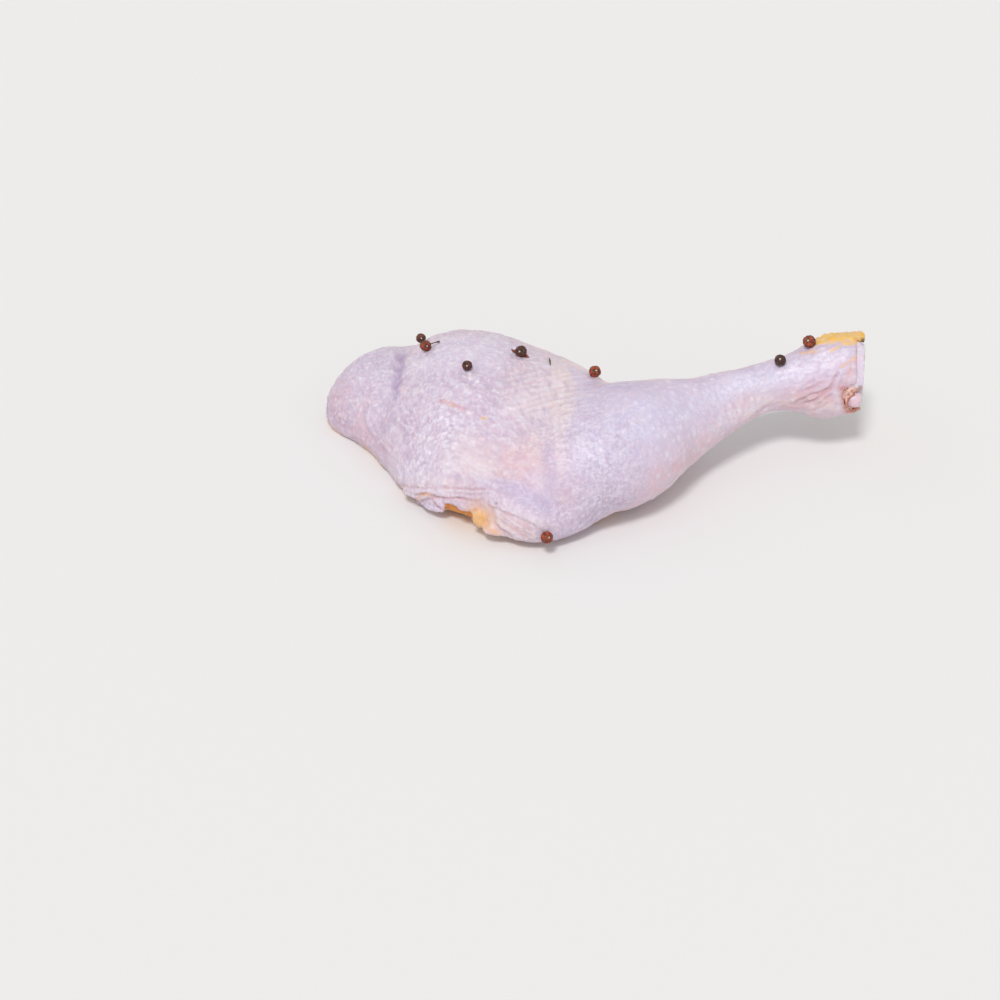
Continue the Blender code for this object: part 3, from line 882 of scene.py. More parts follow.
    # pale skin, and painted highlights: the glossy spot of the drumstick, the shank's top, the drumstick's middle, the
    # lobe's top and the rolls of the front edge
    pale_and_highlight = facing * (0.85 * patch(s, 597, 462, 24, 24, 0, 3.0) + 0.95 * patch(s, 752, 382, 44, 13, -14, 3.0)
                     + 0.7 * patch(s, 806, 366, 34, 13, -10, 3.0) + 0.45 * patch(s, 440, 436, 26, 38, 0, 3.0)
                     + 0.4 * patch(s, 426, 368, 18, 34, 0, 3.0) + 0.85 * patch(s, 382, 375, 10, 21, 8, 3.0)
                     + 0.55 * patch(s, 450, 491, 50, 4, 0, 3.0) + 0.5 * patch(s, 416, 472, 18, 12, 20, 3.0)
                     + 0.55 * patch(s, 660, 416, 60, 20, -18, 3.0) + 0.90 * patch(s, 516, 522, 26, 10, 25, 3.0)
                     + 0.75 * patch(s, 370, 354, 24, 10, -14, 3.0) + 0.75 * patch(s, 840, 353, 22, 7, -6, 3.0)
                     + 0.60 * patch(s, 374, 368, 24, 16, -10, 3.0)
                     + 0.40 * patch(s, 440, 494, 42, 7, 5, 3.0) + 0.35 * patch(s, 466, 350, 62, 20, 8, 3.0)
                     + 0.3 * patch(s, 700, 440, 44, 10, -36, 3.0) + 0.4 * patch(s, 579, 420, 13, 22, 0, 3.0)
                     + 0.35 * patch(s, 372, 368, 24, 11, -10, 3.0) + 0.80 * patch(s, 745, 411, 28, 8, -30, 3.0)
                     + 0.55 * patch(s, 412, 468, 18, 14, 20, 3.0))
    pale_and_highlight = pale_and_highlight + 0.26 * b2 + 0.18 * b3 + 0.12
    # lilac tone, and painted shade: darker lilac in the valleys, along the drumstick's top edge and on skin turned from
    # the light
    lilac_and_shade = facing * (1.10 * patch(s, 534, 501, 34, 11, 28, 3.0) + 0.65 * patch(s, 550, 466, 8, 34, -8, 3.0)
                      + 0.45 * patch(s, 408, 428, 9, 20, 10, 3.0) + 1.0 * patch(s, 398.5, 374, 4.5, 27, 10, 3.0)
                      + 0.40 * patch(s, 386, 404, 9, 7, 30, 3.0) + 0.60 * patch(s, 498, 485, 20, 7, 10, 3.0)
                      + 0.65 * patch(s, 608, 385, 34, 9, 0, 3.0) + 0.35 * patch(s, 700, 375, 44, 6, -6, 3.0))
    lilac_and_shade = lilac_and_shade + 0.34 * (b1 + 0.5 * b2) * (1 - 0.7 * lobe) - 0.12 * lobe
    pale_and_highlight = pale_and_highlight + 0.30 * lobe
    rose = facing * (0.85 * patch(s, 335, 408, 14, 34, 8, 3.0) + 0.75 * patch(s, 366, 441, 32, 13, 40, 3.0)
                     + 0.45 * patch(s, 520, 364, 16, 11, 20, 3.0) + 0.85 * patch(s, 509, 462, 22, 17, 0, 3.0)
                     + 0.35 * patch(s, 535, 450, 18, 18, 0, 3.0) + 0.60 * patch(s, 682, 461, 30, 7, -36, 3.0)
                     + 0.90 * patch(s, 814, 397, 28, 9, -24, 3.0) + 0.45 * patch(s, 410, 425, 9, 26, 8, 3.0)
                     + 0.35 * patch(s, 545, 395, 16, 16, 0, 3.0) + 0.45 * patch(s, 744, 398, 14, 10, -30, 3.0)
                     + 0.50 * patch(s, 566, 505, 12, 22, 20, 3.0))
    rose = rose * (0.75 + 0.5 * b2 + 0.3 * b3) + away * (0.25 + 0.35 * b1)
    rose = rose + facing * 0.28 * patch(s, 530, 470, 38, 28, 0, 3.0)
    # painted bluish highlight along the drumstick's middle, on the shank's top and on the glossy spot
    blue_highlight = facing * (0.80 * patch(s, 655, 416, 72, 24, -18, 3.0) + 0.45 * patch(s, 752, 380, 44, 13, -14, 3.0)
                     + 0.35 * patch(s, 597, 462, 26, 26, 0, 3.0)) * (0.8 + 0.4 * b2)

    scratch, at = to_line(s, [(436.5, 399.5), (447, 402.5), (456, 405.8), (470, 410.5)])
    red = facing * 0.55 * np.exp(-(scratch / (2.3 + 0.8 * b3)) ** 2) * taper(at, 0.1, 0.2) * smooth(-0.6, 0.3, b3 + 0.3)
    d, at = to_line(s, [(853.5, 366), (850.5, 374), (846.5, 381), (844, 386)])
    red = np.maximum(red, facing * 0.40 * np.exp(-(d / (1.6 + 0.6 * b3)) ** 2))
    d, at = to_line(s, [(840.5, 366.8), (846, 364.0), (851, 361), (856.4, 358)])
    peach = facing * 0.85 * np.exp(-(np.abs(d) / (1.0 + 2.2 * at + 0.7 * b3)) ** 2.0) * smooth(-0.7, 0.2, b3 + 0.2)
    peach = np.maximum(peach, 0.35 * facing * patch(s, 849, 373, 3.0, 7.0, 22, 3.0))
    orange = np.zeros(len(co))
    for points, half, power in (([(841, 389), (842.6, 397), (846, 404), (851, 408.4), (857, 410)], 2.2, 0.75),
                                ([(842, 388), (848, 386.6), (856, 385)], 1.8, 0.6)):
        d, at = to_line(s, points)
        orange = np.maximum(orange, facing * power * np.exp(-(d / half) ** 2) * smooth(-0.5, 0.4, b3 + 0.25))
    near_rim = smooth(-2.0, -0.2, q[:, 2] - skin_rim(q)) * (q[:, 2] > -14)
    orange = np.maximum(orange, near_rim * (0.85 * smooth(16, 24, a) * (1 - smooth(80, 92, a))
                                            + 0.25 * smooth(-60, -40, a) * (1 - smooth(10, 20, a))))

    yellow = scaly * (0.7 + 0.45 * smooth(-0.3, 0.6, b3 + 0.4 * plate))
    for points, half, power in (([(797, 352.8), (806, 351.6), (818, 350.4)], 1.4, 0.55), ([(829, 351.4), (835, 348.4), (840.5, 346)], 1.3, 0.6),
                                ([(479.5, 417), (487, 418.2)], 1.2, 0.75), ([(449, 404.2), (456, 406.5)], 1.2, 0.4)):
        d, at = to_line(s, points)
        yellow = np.maximum(yellow, facing * power * np.exp(-(d / half) ** 2) * taper(at, 0.15, 0.15))
    yellow = np.maximum(yellow, 0.75 * smooth(-9.0, -1.5, q[:, 2] + 2.5 * b2) * smooth(-0.5, 0.3, b3 + 0.3 * b2 + 0.15) * (1 - facing))
    yellow = np.maximum(yellow, np.where(inner & (q[:, 2] > -12), 0.35 + 0.5 * top_side(a), 0))

    fat = fronting * np.maximum.reduce([1.15 * patch(s, 479, 519, 14, 13, 30, 2.0), 0.75 * patch(s, 425, 494.6, 7, 1.6, -2, 2.0),
                                        0.45 * patch(s, 418, 499.5, 3, 4, 0, 2.0), 0.4 * patch(s, 487, 509.5, 7, 3.0, 10, 2.0),
                                        0.8 * patch(s, 493, 531.5, 10, 3.4, 28, 2.0)])
    fat = np.clip(fat, 0, 1)
    fat = np.maximum(fat, away * 0.5 * bell(co[:, 2], 1.5, 3.5) * smooth(0.0, 0.6, b1 + 0.2))
    flesh = np.maximum(flesh, facing * 0.5 * patch(s, 475.5, 509.4, 3.4, 2.0))
    # small dark spots, and painted shade in the hollow between the yellow skin's rim and the cartilage band at the top
    # of the cut
    dark_and_hollow_shade = facing * (0.9 * patch(s, 824.5, 332.4, 4.5, 1.5, -4) * smooth(-0.2, 0.3, b3 + 0.1) + 0.7 * patch(s, 496.8, 503.2, 1.1, 1.1))
    dark_and_hollow_shade = np.maximum(dark_and_hollow_shade, patch(s, 863.0, 341.2, 2.6, 3.8, 0, 4.0) * (q[:, 2] > -3.5) * (q[:, 0] < 6))
    flap = facing * patch(s, 431, 505, 11, 4.2, 18, 5.0)
    for name, value in (("cream", cream), ("pink_and_warm_bounce", pink_and_warm_bounce), ("pale_and_highlight", pale_and_highlight), ("red", red), ("orange", orange), ("yellow", yellow),
                        ("peach", peach), ("fat", fat), ("flesh", flesh), ("dark_and_hollow_shade", dark_and_hollow_shade), ("painted_crease_shade", blurred(mesh, crease_shade, 1)),
                        # painted highlight on the ridges and on the tops of the follicles
                        ("warm_crease_shade", blurred(mesh, warm_crease_shade, 1)), ("highlight_and_light_tone", np.maximum(ridge_highlight, 0.75 * lump * (0.04 + 0.96 * limb))),
                        ("lilac_and_shade", np.clip(lilac_and_shade, 0, 1.1)), ("rose", np.clip(rose, 0, 1)), ("blue_highlight", np.clip(blue_highlight, 0, 1)),
                        ("brush", np.clip((1 - limb) * (0.40 + 0.35 * patchy) * (1 - 0.8 * fan) * (2 * calm - 1) * brushed
                                          * (1 - 0.4 * lobe) * (1 - 0.8 * taut), 0, 1)),
                        ("pebble", np.clip((1 - 0.1 * lobe) * (1 - 0.75 * taut) * (1 - 0.7 * fan) * (1.7 * calm - 0.7) * (1 - 0.35 * limb), 0, 1.8)),
                        ("cool", 0.35 + 0.5 * cool_side * facing + 0.25 * b1 + flap), ("wet", glossy + 0.3 * b1),
                        ("tissue", np.where(inner, 1.0, 0.0))):
        put(mesh, name, value)
    shade(mesh)
    return mesh


skin_mesh = fine_skin()
skin = new_object("skin", skin_mesh)
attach(skin, "root")
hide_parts("leg_quarter")


# ---- the cut bone -----------------------------------------------------------------------------------------------------
# middle line of the bone behind its end, with half thickness and half height
SHAFT = [(13.7, -18.2, 23.4, 2.3, 2.5), (15.2, -17.6, 23.6, 3.1, 3.5), (17.7, -16.5, 23.8, 3.4, 3.8), (28.0, -11.6, 24.7, 3.3, 3.8),
         (39.7, -6.2, 25.6, 3.3, 3.8), (54.0, 0.6, 27.1, 3.2, 3.7), (69.7, 7.4, 28.6, 3.3, 3.8), (80.0, 11.6, 29.7, 3.5, 4.3),
         (88.0, 14.3, 30.2, 3.9, 5.0), (94.5, 16.3, 30.6, 4.3, 6.2)]
END_FACE = 0.3                  # the bone's end stands this far out of the cut


def oval(q, across, up, half_across, half_up, turn):
    """1 on the outline of an oval on the cut, less inside. Turned, its top leans towards the viewer's side."""
    c, s = math.cos(math.radians(turn)), math.sin(math.radians(turn))
    du, dv = q[:, 0] - across, q[:, 1] - up
    return np.sqrt(((du * c + dv * s) / half_across) ** 2 + ((dv * c - du * s) / half_up) ** 2)


def knuckles(q):
    slim = 1 - 0.28 * smooth(1.0, 14.0, -q[:, 2])
    upper = oval(q, 2.4 * slim, 5.0 * slim, 4.6 * slim, 6.9 * slim, 14)
    lower = oval(q, -1.4 * slim, -6.2 * slim, 4.9 * slim, 6.1 * slim, 66)
    return upper, lower, slim


def bone_field(p):
    q = to_hock(p)
    upper, lower, slim = knuckles(q)
    side = melt((upper - 1) * 4.6 * slim, (lower - 1) * 4.9 * slim, 1.3) + 0.10 * noise(p / 2.5, 91)
    core = 1 - smooth(0.70, 0.84, np.minimum(upper, lower))
    face = END_FACE - 0.55 * core + core * (0.16 * noise(p / 1.3, 92) + 0.10 * noise(p / 0.7, 93)) + 0.12 * noise(p / 3.0, 94)
    return carve(carve(side, q[:, 2] - face, 0.6), -13.5 - q[:, 2], 0.5)


def shaft_mesh():
    rows = curve([r[:3] for r in SHAFT], 1e6)       # two steps to a leg
    run = np.arange(len(rows)) / 2
    wide = np.interp(run, range(len(SHAFT)), [r[3] for r in SHAFT])
    tall = np.interp(run, range(len(SHAFT)), [r[4] for r in SHAFT])
    bm = bmesh.new()
    rings = []
    for i, p in enumerate(rows):
        along = rows[min(i + 1, len(rows) - 1)] - rows[max(i - 1, 0)]
        along /= np.linalg.norm(along)
        side = np.cross(along, (0, 0, 1))
        side /= np.linalg.norm(side)
        rise = np.cross(side, along)
        ring = []
        for k in range(28):
            a = 2 * math.pi * k / 28
            ring.append(bm.verts.new(Vector(p + side * wide[i] * math.cos(a) + rise * tall[i] * math.sin(a)) * MM))
        rings.append(ring)
    for a, b in zip(rings, rings[1:]):
        for k in range(28):
            bm.faces.new((a[k], a[(k + 1) % 28], b[(k + 1) % 28], b[k]))
    bm.faces.new(rings[0][::-1])
    bm.faces.new(rings[-1])
    bmesh.ops.recalc_face_normals(bm, faces=bm.faces)
    mesh = bpy.data.meshes.new("shaft")
    bm.to_mesh(mesh)
    bm.free()
    return mesh


def bone_mesh():
    end = nets("end", bone_field, HOCK + (-17, -12, -14), HOCK + (3, 12, 15), 0.4)
    mesh = remeshed(joined([end, shaft_mesh()]), 0.42)
    co = relax(mesh, coords(mesh), 2)
    co += normals(mesh) * (0.12 * noise(co / 4.0, 95) * smooth(8.0, 14.0, -to_hock(co)[:, 2]))[:, None]
    set_coords(mesh, co)
    q = to_hock(co)
    upper, lower, _ = knuckles(q)
    face = smooth(-0.9, -0.1, q[:, 2])
    wave = 0.06 * noise(co / 1.6, 96)
    k = np.minimum(upper, lower) + wave
    put(mesh, "core", face * (1 - smooth(0.80, 0.88, k)))
    put(mesh, "rim", face * bell(k, 0.78, 0.10))
    put(mesh, "heart", face * (1 - smooth(0.25, 0.65, k + 0.10 * noise(co / 2.2, 97))))
    put(mesh, "lower", face * (1 - smooth(0.9, 1.1, lower)))
    # painted sheen: a pinkish highlight on the lower part of the upper oval
    put(mesh, "painted_sheen", face * bell(upper, 0.55, 0.25) * smooth(0.0, 3.0, -(q[:, 1] - 4.0)))
    put(mesh, "shaft", smooth(9.0, 15.0, -q[:, 2]))
    shade(mesh)
    return mesh


bone = new_object("bone", bone_mesh())
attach(bone, "root")
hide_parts("shank_bone")


# ---- cartilage, sinews and torn flesh inside the hock -----------------------------------------------------------------
def on_cut(angle, radius):
    a = math.radians(angle)
    return (math.cos(a) * LOOK + math.sin(a) * DOWN) * radius


KNOB = np.append(on_cut(52, 14.3), -3.7)
FAN = (4.6, -3.0)               # place on the cut from which the sinews fan out towards the back
# sinews cut across: place on the cut, radius, how far out the end stands
SINEWS = [(7.4, -8.2, 1.1, -1.2), (3.2, -11.6, 0.9, -1.4), (-2.6, 12.0, 1.0, -1.3), (8.4, 8.6, 0.9, -1.3)]
# strands: points over, up and along the cut, radius
STRANDS = [
    ([(4.7, -2.8, -0.9), (7.4, -1.2, -1.3), (10.6, 0.9, -1.6), (13.4, 2.4, -2.1)], 0.85),
    ([(4.7, -2.6, -0.8), (7.0, 0.2, -1.3), (9.0, 3.6, -1.6), (10.2, 8.0, -2.1)], 0.60),
    ([(4.8, -3.4, -1.1), (8.0, -3.8, -1.6), (12.4, -3.6, -2.3)], 0.55),
    ([(4.4, -4.0, -1.2), (7.4, -5.8, -1.7), (10.6, -8.2, -2.4)], 0.45),
]
# torn flesh round the knob: angle round the hock, how deep under the skin, along
SHREDS = [
    ([(24, 1.5, -3.6), (26, 1.4, -5.4), (31, 1.4, -7.2)], 0.50),
    ([(29, 1.5, -7.4), (38, 1.4, -7.6), (47, 1.4, -7.1), (57, 1.5, -6.8), (66, 1.4, -6.6)], 0.55),
    ([(40, 1.6, -6.4), (50, 1.5, -6.9), (62, 1.4, -6.8), (74, 1.3, -6.0), (83, 1.3, -4.0)], 0.60),
    ([(27, 1.7, -4.2), (33, 1.6, -5.0), (40, 1.6, -5.8)], 0.45),
    ([(32, 1.6, -6.8), (36, 1.5, -5.4), (38, 1.7, -4.0)], 0.40),
    ([(26, 1.8, -6.4), (35, 1.7, -6.0), (43, 1.8, -5.2)], 0.35),
]


def shred_points(points):
    out = []
    for angle, deep, w in points:
        q = np.append(on_cut(angle, 1.0), w)
        r = radius_at(q[None])[0] - deep
        out.append(np.array([q[0] * r, q[1] * r, w]))
    return np.array(out)


def rope_in(q, points, radius):
    line = curve(points, 0.8)
    fat = radius * (1 + 0.25 * np.sin(np.linspace(0, 7, len(line)) + radius * 40))
    return rope(q, list(line), list(fat))


def tissue_parts(p):
    """Fields of the torn flesh, of the cartilage, of the knob and of the sinews."""
    q = to_hock(p)
    rho = np.hypot(q[:, 0], q[:, 1])
    a = round_angle(q)
    out = radius_at(q)
    upper, lower, slim = knuckles(q)
    k = np.minimum(upper, lower)
    coarse, fine = noise(p / 2.6, 101), noise(p / 1.1, 102)
    gape = smooth(17, 24, a) * (1 - smooth(84, 92, a))
    round_knob = np.exp(-(np.linalg.norm(q - KNOB, axis=1) / 4.6) ** 2)
    side = rho - (out - 1.3 - 1.6 * round_knob - gape * (0.25 + 0.35 * coarse + 0.4 * fine))
    zone, fibre = fan_fibres(q)
    face = -2.6 + 0.6 * coarse + 0.3 * fine + 1.3 * bell(k, 1.05, 0.12) - 1.4 * gape * smooth(6.0, 12.0, rho) + zone * (0.3 + 0.75 * fibre)
    flesh = carve(side, q[:, 2] - face, 0.5)
    half = 2.5 - 1.2 * smooth(-40, 14, a)
    ends = np.maximum(a - 23, -47 - a) * math.pi / 180 * rho
    middle = out - 0.8 - half
    band = carve(np.abs(rho - middle) - half, ends, 0.9) + 0.12 * noise(p / 2.0, 103) + 0.05 * noise(stretched(p, ALONG, 0.7, 5.0), 106)
    band = carve(band, q[:, 2] - (-0.9 + 0.2 * noise(p / 2.2, 104)), 0.45)
    split = np.minimum(np.hypot(rho - middle + 0.5 + 0.3 * coarse, (q[:, 2] + 0.2) * 0.8), np.hypot(a * math.pi / 180 * rho + 3.0, q[:, 2] + 0.3) + 0.12)
    band = carve(band, 0.34 - split, 0.3)
    lean = q - KNOB
    lean[:, 0] += 0.12 * lean[:, 1]
    knob = (np.linalg.norm(lean / np.array([3.1, 3.2, 3.1]), axis=1) - 1) * 3.0 + 0.22 * noise(p / 2.6, 105) + 0.08 * noise(p / 1.1, 107)
    sinew = np.full(len(p), 1e9)
    for u, v, r, w in SINEWS:
        sinew = np.minimum(sinew, carve(np.hypot(q[:, 0] - u, q[:, 1] - v) - r, q[:, 2] - w, 0.35))
    for points, r in STRANDS:
        flat = np.array([1.0, 1.0, 1.8])
        sinew = np.minimum(sinew, rope_in(q * flat, np.array(points) * flat, r) / 1.3)
    shred = np.full(len(p), 1e9)
    for points, r in SHREDS:
        shred = np.minimum(shred, rope_in(q, shred_points(points), r))
    return q, flesh, band, knob, sinew + 0.15 * fine, shred + 0.18 * fine, (k - 1) * 4.0 * slim, gape * smooth(5.0, 8.0, rho), zone * fibre


def fan_fibres(q):
    """Where sinews fan out over the cut, and strands of them, about -1 to 1."""
    du, dv = q[:, 0] - FAN[0], q[:, 1] - FAN[1]
    reach, turn = np.hypot(du, dv), np.degrees(np.arctan2(dv, du))
    zone = smooth(0.5, 2.5, reach) * smooth(-80, -60, turn) * (1 - smooth(80, 100, turn))
    flat = 0 * reach
    return zone, np.clip(noise(np.stack([turn / 15, reach / 10, flat + 5.5], 1), 111)
                         + 0.6 * noise(np.stack([turn / 6, reach / 6, flat + 2.5], 1), 112), -1, 1)


def tissue_field(p):
    q, flesh, band, knob, sinew, shred, bone_side, _, _ = tissue_parts(p)
    f = melt(melt(melt(melt(flesh, shred, 0.5), sinew, 0.5), knob, 0.3), band, 0.2)
    return carve(carve(f, -11.3 - q[:, 2], 0.2), 0.08 - bone_side, 0.1)


def tissue_mesh():
    mesh = nets("tissue", tissue_field, HOCK + (-14, -19, -19), HOCK + (3, 18, 18), 0.37)
    co = relax(mesh, coords(mesh), 1)
    set_coords(mesh, co)
    q, flesh, band, knob, sinew, shred, bone_side, gape, fibre = tissue_parts(co)
    put(mesh, "white", np.maximum(1 - smooth(0.10, 0.35, band), 1 - smooth(0.10, 0.40, knob)))
    put(mesh, "sinew", np.maximum(1 - smooth(0.08, 0.35, sinew), 0.8 * smooth(0.05, 0.45, fibre)))
    put(mesh, "shred", 1 - smooth(0.10, 0.45, shred))
    # darker red deeper in the cut and between the sinew strands: the flesh's own red with painted shade of the recess
    put(mesh, "deep", np.maximum(smooth(1.5, 4.5, -q[:, 2]) * (1 - smooth(0.0, 1.4, bone_side)), 0.8 * smooth(0.15, 0.5, -fibre)))
    put(mesh, "ring", smooth(0.12, 0.35, knob) * (1 - smooth(0.9, 1.7, knob)) * (0.5 + 0.5 * smooth(-1.5, -3.5, q[:, 2])))
    put(mesh, "gape", gape)
    put(mesh, "knob", 1 - smooth(0.10, 0.40, knob))
    # painted shade in the hollow at the top of the cut
    put(mesh, "dark_and_hollow_shade", patch(sketch(co), 863.0, 341.2, 2.6, 3.8, 0, 4.0) * (q[:, 0] < 6))
    shade(mesh)
    return mesh


tissue = new_object("hock_tissue", tissue_mesh())
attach(tissue, "root")


# ---- peppercorns and scraps -------------------------------------------------------------------------------------------
def sketch_way(x, y):
    d = RIGHT * (x - 500) / FOCAL - UP * (y - 500) / FOCAL - BACK
    return d / np.linalg.norm(d)


skin_tree = tree_of(skin_mesh)


def ball_place(x, y, radius, sink=0.12):
    """Where a ball that shows at the sketch point touches the skin: its middle and the way from the skin to it."""
    way = sketch_way(x, y)
    t, best = 800.0, (1e9, 0.0)
    while t < 1050.0:
        gap = skin_tree.find_nearest(Vector(EYE + way * t))[3] - radius * (1 - sink)
        best = min(best, (gap, t))
        if gap < 0.02:
            break
        t += max(gap, 0.1)
    middle = EYE + way * best[1]
    near = np.array(skin_tree.find_nearest(Vector(middle))[0])
    direction = (middle - near) / np.linalg.norm(middle - near)
    middle = near + direction * radius * (1 - sink)
    middle[2] = max(middle[2], radius)
    return middle, direction


def ball(middle, radius, seed, tone, up):
    """A dried berry: a ball with a net of deep wrinkles and a small dimpled scar, which is painted pale as a glint."""
    bm = bmesh.new()
    bmesh.ops.create_icosphere(bm, subdivisions=5, radius=1.0)
    mesh = bpy.data.meshes.new("berry")
    bm.to_mesh(mesh)
    bm.free()
    p = coords(mesh) * MM
    turned = p * np.array([1.0, 1.03, 0.95])
    warp = p + 0.12 * np.stack([noise(p * 2.6, seed + k) for k in range(3)], 1)
    c1, c2 = cells(warp * 2.3 + seed * 1.7, seed + 5)
    groove = 1 - smooth(0.0, 0.30, c2 - c1)
    scar_and_glint = np.exp(-(np.linalg.norm(p - up, axis=1) / 0.24) ** 2)
    r = 1 + 0.05 * noise(p * 1.3, seed + 9) - 0.11 * groove + 0.03 * noise(p * 7, seed + 11) - 0.10 * scar_and_glint
    set_coords(mesh, turned * r[:, None] * radius + middle)
    put(mesh, "highlight_and_light_tone", (1 - groove) * smooth(-0.3, 0.5, noise(p * 5, seed + 13)))
    put(mesh, "tone", np.clip(tone + 0.25 * noise(p * 1.6, seed + 15), 0, 1))
    put(mesh, "scar_and_glint", scar_and_glint)
    return mesh


def rod(points, radii, tone):
    """A thin twig through the points."""
    line = curve(points, 0.25)
    fat = np.interp(np.linspace(0, len(radii) - 1, len(line)), range(len(radii)), radii)
    mesh = nets("twig", lambda p: rope(p, list(line), list(fat)) + 0.03 * noise(p / 0.5, 121),
                line.min(0) - 0.9, line.max(0) + 0.9, 0.12)
    n = len(mesh.vertices)
    # the twig is a little lighter all over
    put(mesh, "highlight_and_light_tone", np.full(n, 0.3))
    put(mesh, "tone", np.full(n, tone))
    put(mesh, "scar_and_glint", np.zeros(n))
    return mesh


def with_attributes(meshes, name):
    """The meshes in one, with their masks."""
    values = {}
    for m in meshes:
        for a in m.attributes:
            if a.data_type == "FLOAT" and a.domain == "POINT":
                v = np.empty(len(m.vertices), np.float32)
                a.data.foreach_get("value", v)
                values.setdefault(a.name, []).append(v)
    points = np.vstack([coords(m) for m in meshes])
    faces, start = [], 0
    for m in meshes:
        faces += [[start + v for v in p.vertices] for p in m.polygons]
        start += len(m.vertices)
    mesh = bpy.data.meshes.new(name)
    mesh.from_pydata((points * MM).tolist(), [], faces)
    mesh.update()
    for key, parts in values.items():
        put(mesh, key, np.concatenate(parts))
    shade(mesh)
    return mesh


def peppercorns():
    made = []
    # place on the sketch, radius, seed, how reddish
    for x, y, radius, seed, tone in ((467.2, 365.5, 2.05, 201, 0.15), (521.0, 351.4, 2.35, 213, 0.15), (425.5, 345.8, 2.3, 227, 0.55),
                                     (420.9, 338.2, 2.05, 239, 0.3), (780.2, 360.2, 2.3, 251, 0.1), (809.2, 341.5, 2.6, 263, 0.75),
                                     (595.0, 371.6, 2.4, 277, 0.9), (546.8, 537.4, 2.4, 291, 0.75)):
        middle, out = ball_place(x, y, radius)
        # the scar, painted pale as a glint, faces the viewer, a little differently on each
        scar_and_glint = np.array([0.45 * math.sin(seed), -0.74, 0.60 + 0.22 * math.cos(1.7 * seed)])
        made.append(ball(middle, radius, seed, tone, scar_and_glint / np.linalg.norm(scar_and_glint)))
        if seed == 213:
            # split husk at both sides
            side = np.cross(out, BACK)
            side /= np.linalg.norm(side)
            made.append(rod([middle - side * 2.0 - out * 0.9, middle - side * 3.0 - out * 1.0, middle - side * 3.7 - out * 0.6], (0.7, 0.5, 0.2), 0.35))
            made.append(rod([middle + side * 1.9 - out * 1.1, middle + side * 2.9 - out * 1.2, middle + side * 3.6 - out * 1.3], (0.8, 0.6, 0.3), 0.8))
        if seed == 227:
            tip = RIGHT * 2.3 + UP * 0.7
            made.append(rod([middle + tip * 0.9, middle + tip * 1.35 + UP * 0.15, middle + tip * 1.85 + UP * 0.1, middle + tip * 2.3], (0.28, 0.22, 0.24, 0.42), 0.1))
    return with_attributes(made, "peppercorns")


pepper = new_object("peppercorns", peppercorns())
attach(pepper, "root")


def herb_bit():
    """A dry sliver of leaf on the back of the thigh."""
    points = [on_skin(x, y, 0.35)[0] for x, y in ((548.9, 358.6), (549.8, 362.4), (550.4, 366.4))]
    line = curve(points, 0.2)
    fat = np.interp(np.linspace(0, 3, len(line)), range(4), (0.12, 0.34, 0.30, 0.08))
    mesh = nets("herb_bit", lambda p: rope(p, list(line), list(fat)) + 0.03 * noise(p / 0.4, 131), line.min(0) - 0.8, line.max(0) + 0.8, 0.08)
    shade(mesh)
    return mesh


herb = new_object("herb_bit", herb_bit())
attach(herb, "root")


# ---- materials --------------------------------------------------------------------------------------------------------
def srgb(r, g, b):
    return [(c / 255 / 12.92) if c <= 10 else ((c / 255 + 0.055) / 1.055) ** 2.4 for c in (r, g, b)]


